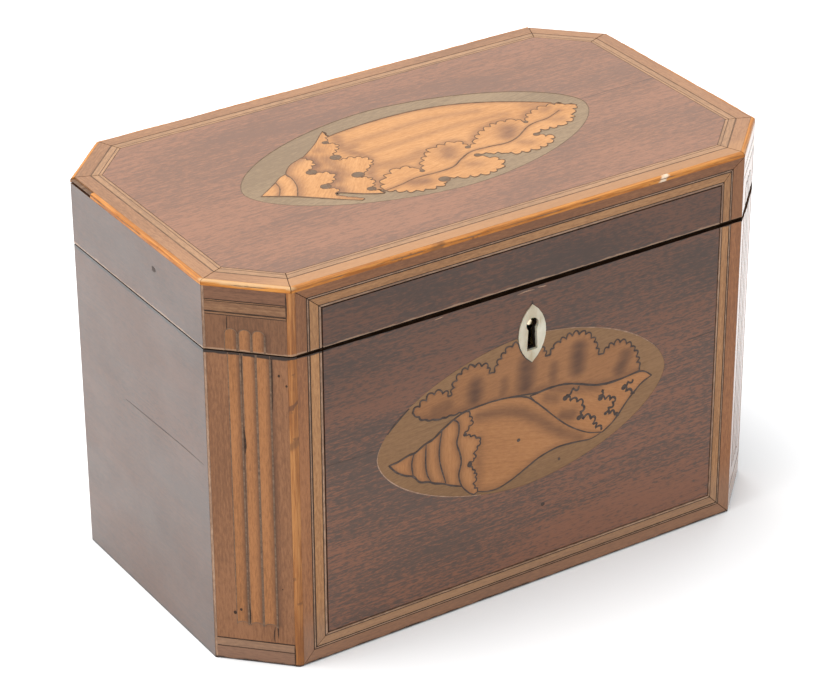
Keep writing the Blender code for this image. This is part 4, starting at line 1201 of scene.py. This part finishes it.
def without(outline, hole):
    """The closed outline less what the hole's outline cuts from its edge."""
    cut = inside(outline, hole)
    if not cut.any():
        return outline
    ends = [i for i in range(len(outline)) if cut[i - 1] and not cut[i]]
    kept = outline[ends[0]:] + outline[:ends[0]]
    kept = [point for point, gone in zip(kept, inside(kept, hole)) if not gone]
    within = inside(hole, outline)
    starts = [i for i in range(len(hole)) if within[i] and not within[i - 1]]
    turned = hole[starts[0]:] + hole[:starts[0]]
    notch = [point for point, found in zip(turned, inside(turned, outline)) if found]
    if (Vector(notch[0]) - Vector(kept[-1])).length > (Vector(notch[-1]) - Vector(kept[-1])).length:
        notch.reverse()
    return kept + notch


def lid_shell():
    """A ribbed shell: spire and two fretted collars on the left, a frilled mantle along its foot."""
    shell = Marquetry(TOP, 0)
    tip = (-55.3, -3)
    edge_one = [(-47.4, 2.4), (-47.9, -0.6), (-49.2, -3.2), (-50.9, -5.6)]
    edge_two = [(-42, 5.6), (-42.1, 2), (-43.2, -2.4), (-44.8, -5.6), (-46.6, -8.6)]
    first = chain(curve([tip, (-51.4, -0.4), edge_one[0]]), curve(edge_one), [tip])
    shell.part(first, angle=0.6, shading=[(edge_one, 1.4, 0.55)])
    second = chain(curve([edge_one[0], (-44.6, 4.6), edge_two[0]]), curve(edge_two), curve(edge_one[::-1]))
    shell.part(second, angle=0.7, shading=[(edge_one, 1.3, 0.5), (edge_two, 1, 0.4)])

    collar_one_left = edge_two[::-1] + [(-38, 10), (-32.8, 12.4)]
    collar_one_right = chain(
        frill([(-32.8, 12.4), (-31.6, 9.4), (-32, 6.6), (-35, 4.4)], 4),
        frill([(-35.2, 0.8), (-32.4, 0.6), (-30.6, -2), (-32.6, -5.4), (-35.4, -6.2)], 5),
        frill([(-36.4, -9.2), (-34.6, -10.8), (-35.6, -12.6), (-37, -14.2)], 3, 0.8),
        frill([(-37, -14.2), (-34.2, -17.2), (-31.6, -19.8), (-32.4, -20.8)], 3, 0.4),
    )
    spine = [(-32.4, -20.8), (-37.6, -16.6), (-41.6, -13.2), (-46.6, -8.6)]
    collar_one = chain(curve(collar_one_left), collar_one_right, curve(spine))
    shades = [(collar_one_left, 2.2, 0.6), ([(-36, -15), (-32, -19.5)], 1.5, 0.4)]
    shell.part(collar_one, angle=0.8, shading=shades)
    shell.cut_pits(((-35.2, 2.6, 1.6), (-36.6, -7.6, 1.6)))

    collar_two_top = [(-32, 12.6), (-27.6, 15.8), (-23.6, 19.2), (-20.4, 22.4), (-18.2, 24.4)]
    collar_two_right = chain(
        frill([(-18.2, 24.4), (-18.8, 20.8), (-21.2, 17.8)], 3),
        frill([(-21, 16.2), (-19.4, 14.6), (-20.6, 12.2), (-22.8, 10.4), (-24.4, 8.2)], 5),
        frill([(-24.2, 5), (-20.4, 4.6), (-17, 2.2), (-17, -1.4), (-20, -3.8), (-22.4, -5.8)], 8),
        frill([(-25, -8.2), (-23.2, -9.6), (-23.6, -12.6), (-25.4, -15)], 4),
        frill([(-26.2, -17.2), (-24.8, -18.8), (-24.8, -20.4)], 2),
    )
    collar_two_foot = [(-24.8, -20.4), (-27.6, -19), (-30.6, -17), (-34, -14.2), (-36.4, -12.6)]
    overlapped = collar_one_right[:collar_one_right.index((-37, -14.2))]
    collar_two = chain(curve(collar_two_top), collar_two_right, curve(collar_two_foot), overlapped[::-1])
    shades = [(overlapped[::8], 2.8, 0.8), ([(-28, -4), (-27, 8)], 2.6, 0.5), ([(-26, 14)], 2.2, 0.4)]
    shell.part(collar_two, angle=0.9, shading=shades)
    shell.cut_pits(((-21.4, 17.4, 1), (-24.2, 7.2, 1.7), (-24.8, -6.2, 1.9), (-26.4, -16, 1.3)))

    back = [(-18.8, 20.4), (-14, 21.3), (-5, 22.2), (5, 22.4), (15, 21.5), (25, 19), (35, 14.4), (44, 8.6),
            (50, 4)]
    upper = [
        ([(-24, -18.6), (-20.8, -13.2), (-14, -9), (-9.4, -10.2), (-8.2, -14.2)], 6),
        ([(-7.6, -14.4), (-4.6, -9), (2, -3.4), (10, -2.8), (12.2, -5.6), (11.5, -8.7)], 9),
        ([(12.2, -8.7), (15.4, -6.4), (20, -2), (27, 0.9), (33.6, 0), (35.3, -3.2)], 9),
        ([(36, -3.4), (39.2, 0.6), (45, 3), (51, 2.4), (55.6, -1.4)], 7),
    ]
    lower = [
        ([(55.6, -1.4), (51.2, -5.6), (48.2, -9.2), (42.6, -10.8), (37, -10.2), (33.2, -11.4)], 8),
        ([(33.4, -12.2), (36.6, -15.4), (34.4, -18.4), (29, -20), (22, -19.4), (17, -16), (11.4, -13.6)], 10),
        ([(11, -14.8), (14.9, -19.6), (13.4, -23.8), (8, -25.8), (1, -24.6), (-4.4, -21.4)], 9),
        ([(-6.4, -21.4), (-6.8, -24.6), (-12, -25.2), (-18, -23.6), (-24, -18.6)], 7),
    ]
    mantle_top = frills(upper, 1.5)
    mantle = chain(mantle_top, frills(lower, 1.5))
    vein = [(-24, -19.2), (-18, -18.4), (-12, -17), (-5, -17.3), (1, -16.8), (6, -13.6), (11, -11.2),
            (17, -11.3), (23, -12), (28, -10.4), (34, -6.4), (38, -5), (43, -4.4), (49, -1.8)]
    body = chain(curve(back), [(50, 3.4)], mantle_top[::-1], [(-25, -17.4)], collar_two_right[::-1])
    furrows = [
        ([(-17, 13.2), (-5, 13.6), (12, 14.4), (28, 11.4)], 1.7, 0.34),
        ([(-19, 9.6), (-16, 11)], 2.6, 0.5),
        ([(-14, 4.6), (0, 5.4), (18, 6.2), (34, 5)], 1.6, 0.32),
        ([(-18, -4), (-8, -5.4), (-1, -3.4)], 2.6, 0.45),
        (mantle_top[::14], 1.7, 0.5),
        (back, 1.4, 0.45),
        ([(-17, 19), (-19, 10), (-16.5, 1), (-22, -9), (-23, -16)], 2.2, 0.55),
        ([(43, 7), (47, 5)], 2.6, 0.4),
    ]
    shell.part(body, angle=0.02, shading=furrows)
    hearts = [
        ([(4, -10), (6, -6.5)], 3, 0.6),
        ([(26, -8), (29, -4.5)], 3.4, 0.75),
        ([(45, 0.5), (47, 1.5)], 1.8, 0.4),
        ([(-14, -19), (-11, -20)], 2.8, 0.7),
        ([(6, -18), (8, -19)], 2.4, 0.4),
        ([(27, -14), (29, -15.5)], 2.2, 0.45),
        ([(44, -6.5), (46, -7)], 2, 0.4),
        (vein, 1, 0.5),
    ]
    shell.part(mantle, angle=0.2, shading=hearts)
    shell.line(vein, 0.22)
    pits = ((-5.6, -22.2, 1.7), (-8, -14.2, 0.7), (11.8, -8.2, 0.8), (35.8, -3.2, 0.7), (33.6, -12, 1),
            (11.2, -14.2, 1))
    shell.cut_pits(pits)
    shell.line([tip, (-50.9, -5.8), (-46.6, -8.8), (-38.4, -16)], 0.28, taper=0.3)
    shell.line(collar_two_foot[::-1], 0.3, taper=0.4)
    shell.line(back, 0.3, taper=0.4)
    ring = oval(LID_OVAL.x - 0.1, LID_OVAL.y - 0.1)
    shell.pits.ribbon(ring + ring[:1], 0.12)

    shell.pieces("lid_shell", ("top_shell", "top_ebony", "mastic"), "lid", "lid_patera")
    shell.ground.plate(oval(LID_OVAL.x, LID_OVAL.y), -SKIN, -INLAY, 0.15)
    shell.ground.piece("lid_oval_ground", "top_ground", "lid", "marquetry", "lid_patera")


# CAD nodes that stay

def both(*stems):
    """The left and the right node of each stem."""
    return [f"{stem}_{side}" for stem in stems for side in ("left", "right")]


KEPT = {
    "front": ["front_veneer", "lid_front_veneer"],
    "top": ["lid_veneer"],
    "side": ["left_veneer", "right_veneer"],
    "lid_side": ["lid_left_veneer", "lid_right_veneer"],
    "back": ["back_veneer", "lid_back_veneer", "bottom_board", "lid_board"],
    "post": both("corner_post_back", "lid_corner_back"),
    "carcase_x": ["front_board", "back_board", "lid_front_rail", "lid_back_rail", "inner_lining",
                  "lid_lining"],
    "carcase_y": ["left_board", "right_board", "divider", "lid_left_rail", "lid_right_rail"],
    "carcase_z": both("corner_post_front", "lid_corner_front"),
    "inner_lid": both("inner_lid"),
    "bone": ["escutcheon", *both("inner_lid_knob")],
    "brass": ["lock_link_plate", *both("hinge_case_leaf", "hinge_lid_leaf", "hinge_pin"),
              *[f"{name}_{number}" for name in both("hinge_screw") for number in (1, 2)]],
    "lock_brass": ["lock_case"],
    "steel": ["lock_bolt"],
    "foil": both("foil_box"),
}
SOFTENED = {"escutcheon": 0.14, "divider": 0.6, "inner_lid_left": 0.5, "inner_lid_right": 0.5,
            "lock_link_plate": 0.15, "corner_post_back_left": 0.3, "corner_post_back_right": 0.3}


def finish_kept_nodes():
    """Gives every CAD node that shows its material, and some a softened edge."""
    for key, names in KEPT.items():
        for name in names:
            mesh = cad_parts[name].data
            mesh.materials.clear()
            mesh.materials.append(materials[key])
    for name, width in SOFTENED.items():
        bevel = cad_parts[name].modifiers.new("soft_edge", "BEVEL")
        bevel.width = width * MM
        bevel.segments = 2
        bevel.limit_method = "ANGLE"


# Camera, light and floor

def put_in_scene(obj):
    bpy.context.scene.collection.objects.link(obj)


def make_camera():
    """The view is from the front left and above, through a long lens."""
    azimuth, elevation, roll = radians(-32.693), radians(28.95), radians(-0.312)
    aim = Vector((-7.39, MIDDLE_Y - 7.49, 61.5))
    standoff = 973.9
    back = Vector((sin(azimuth) * cos(elevation), -cos(azimuth) * cos(elevation), sin(elevation)))
    right = Vector((cos(azimuth), sin(azimuth), 0))
    up = back.cross(right)
    turned_right = right * cos(roll) + up * sin(roll)
    turned_up = up * cos(roll) - right * sin(roll)
    camera = bpy.data.objects.new("camera", bpy.data.cameras.new("camera"))
    camera.data.lens = 142.07
    camera.data.sensor_width = 36
    camera.data.clip_start = 0.05
    axes = Matrix((turned_right, turned_up, back)).transposed()
    camera.matrix_world = Matrix.Translation((aim + back * standoff) * MM) @ axes.to_4x4()
    put_in_scene(camera)
    bpy.context.scene.camera = camera


def make_light(name, place_at, aim, size, watts):
    """A square area light, its size and places in metres."""
    data = bpy.data.lights.new(name, "AREA")
    data.shape = "RECTANGLE"
    data.size = data.size_y = size
    data.energy = watts
    light = bpy.data.objects.new(name, data)
    light.location = place_at
    light.rotation_mode = "QUATERNION"
    light.rotation_quaternion = (Vector(aim) - Vector(place_at)).to_track_quat("-Z", "Y")
    put_in_scene(light)


def make_floor():
    reach = 12.0
    corners = [(-reach, -reach, 0), (reach, -reach, 0), (reach, reach, 0), (-reach, reach, 0)]
    mesh = bpy.data.meshes.new("floor")
    mesh.from_pydata(corners, [], [(0, 1, 2, 3)])
    material = new_material("floor", Roughness=0.9, Specular_IOR_Level=0.1)
    tree = material.node_tree
    grain = speckle(node("ShaderNodeTexCoord", {}, "Object", tree), 3, 4)
    colour = ramp(grain, (0.3, (0.85, 0.85, 0.85)), (0.7, (0.87, 0.87, 0.87)))
    tree.links.new(colour.socket, tree.nodes["Principled BSDF"].inputs["Base Color"])
    mesh.materials.append(material)
    floor = bpy.data.objects.new("floor", mesh)
    put_in_scene(floor)


def make_studio():
    """A pale floor under one broad overhead light and a weak one on the left, with dim light all round."""
    world = bpy.data.worlds.new("studio")
    world.use_nodes = True
    background = world.node_tree.nodes["Background"].inputs
    background["Color"].default_value = (0.97, 0.985, 1, 1)
    background["Strength"].default_value = 0.86
    bpy.context.scene.world = world
    bpy.context.scene.view_settings.view_transform = "Standard"
    make_light("overhead", (-0.5, 0.5, 1.9), (0, 0, 0), 2.4, 64)
    make_light("left_window", (-1.8, 0.2, 1), (0, 0, 0.05), 1.6, 9)
    make_floor()


materials = make_materials()
finish_kept_nodes()
make_borders()
make_lid_arris()
make_corner_arris("front_left_arris", box("fluted_corner_left")[0].z, RIM_Z, "case", "fluted_corner_left")
make_corner_arris("lid_front_left_arris", LID_Z, TOP_Z - ARRIS, "lid", "lid_fluted_corner_left")
make_corners()
front_shell()
lid_shell()
make_cracks()
make_camera()
make_studio()
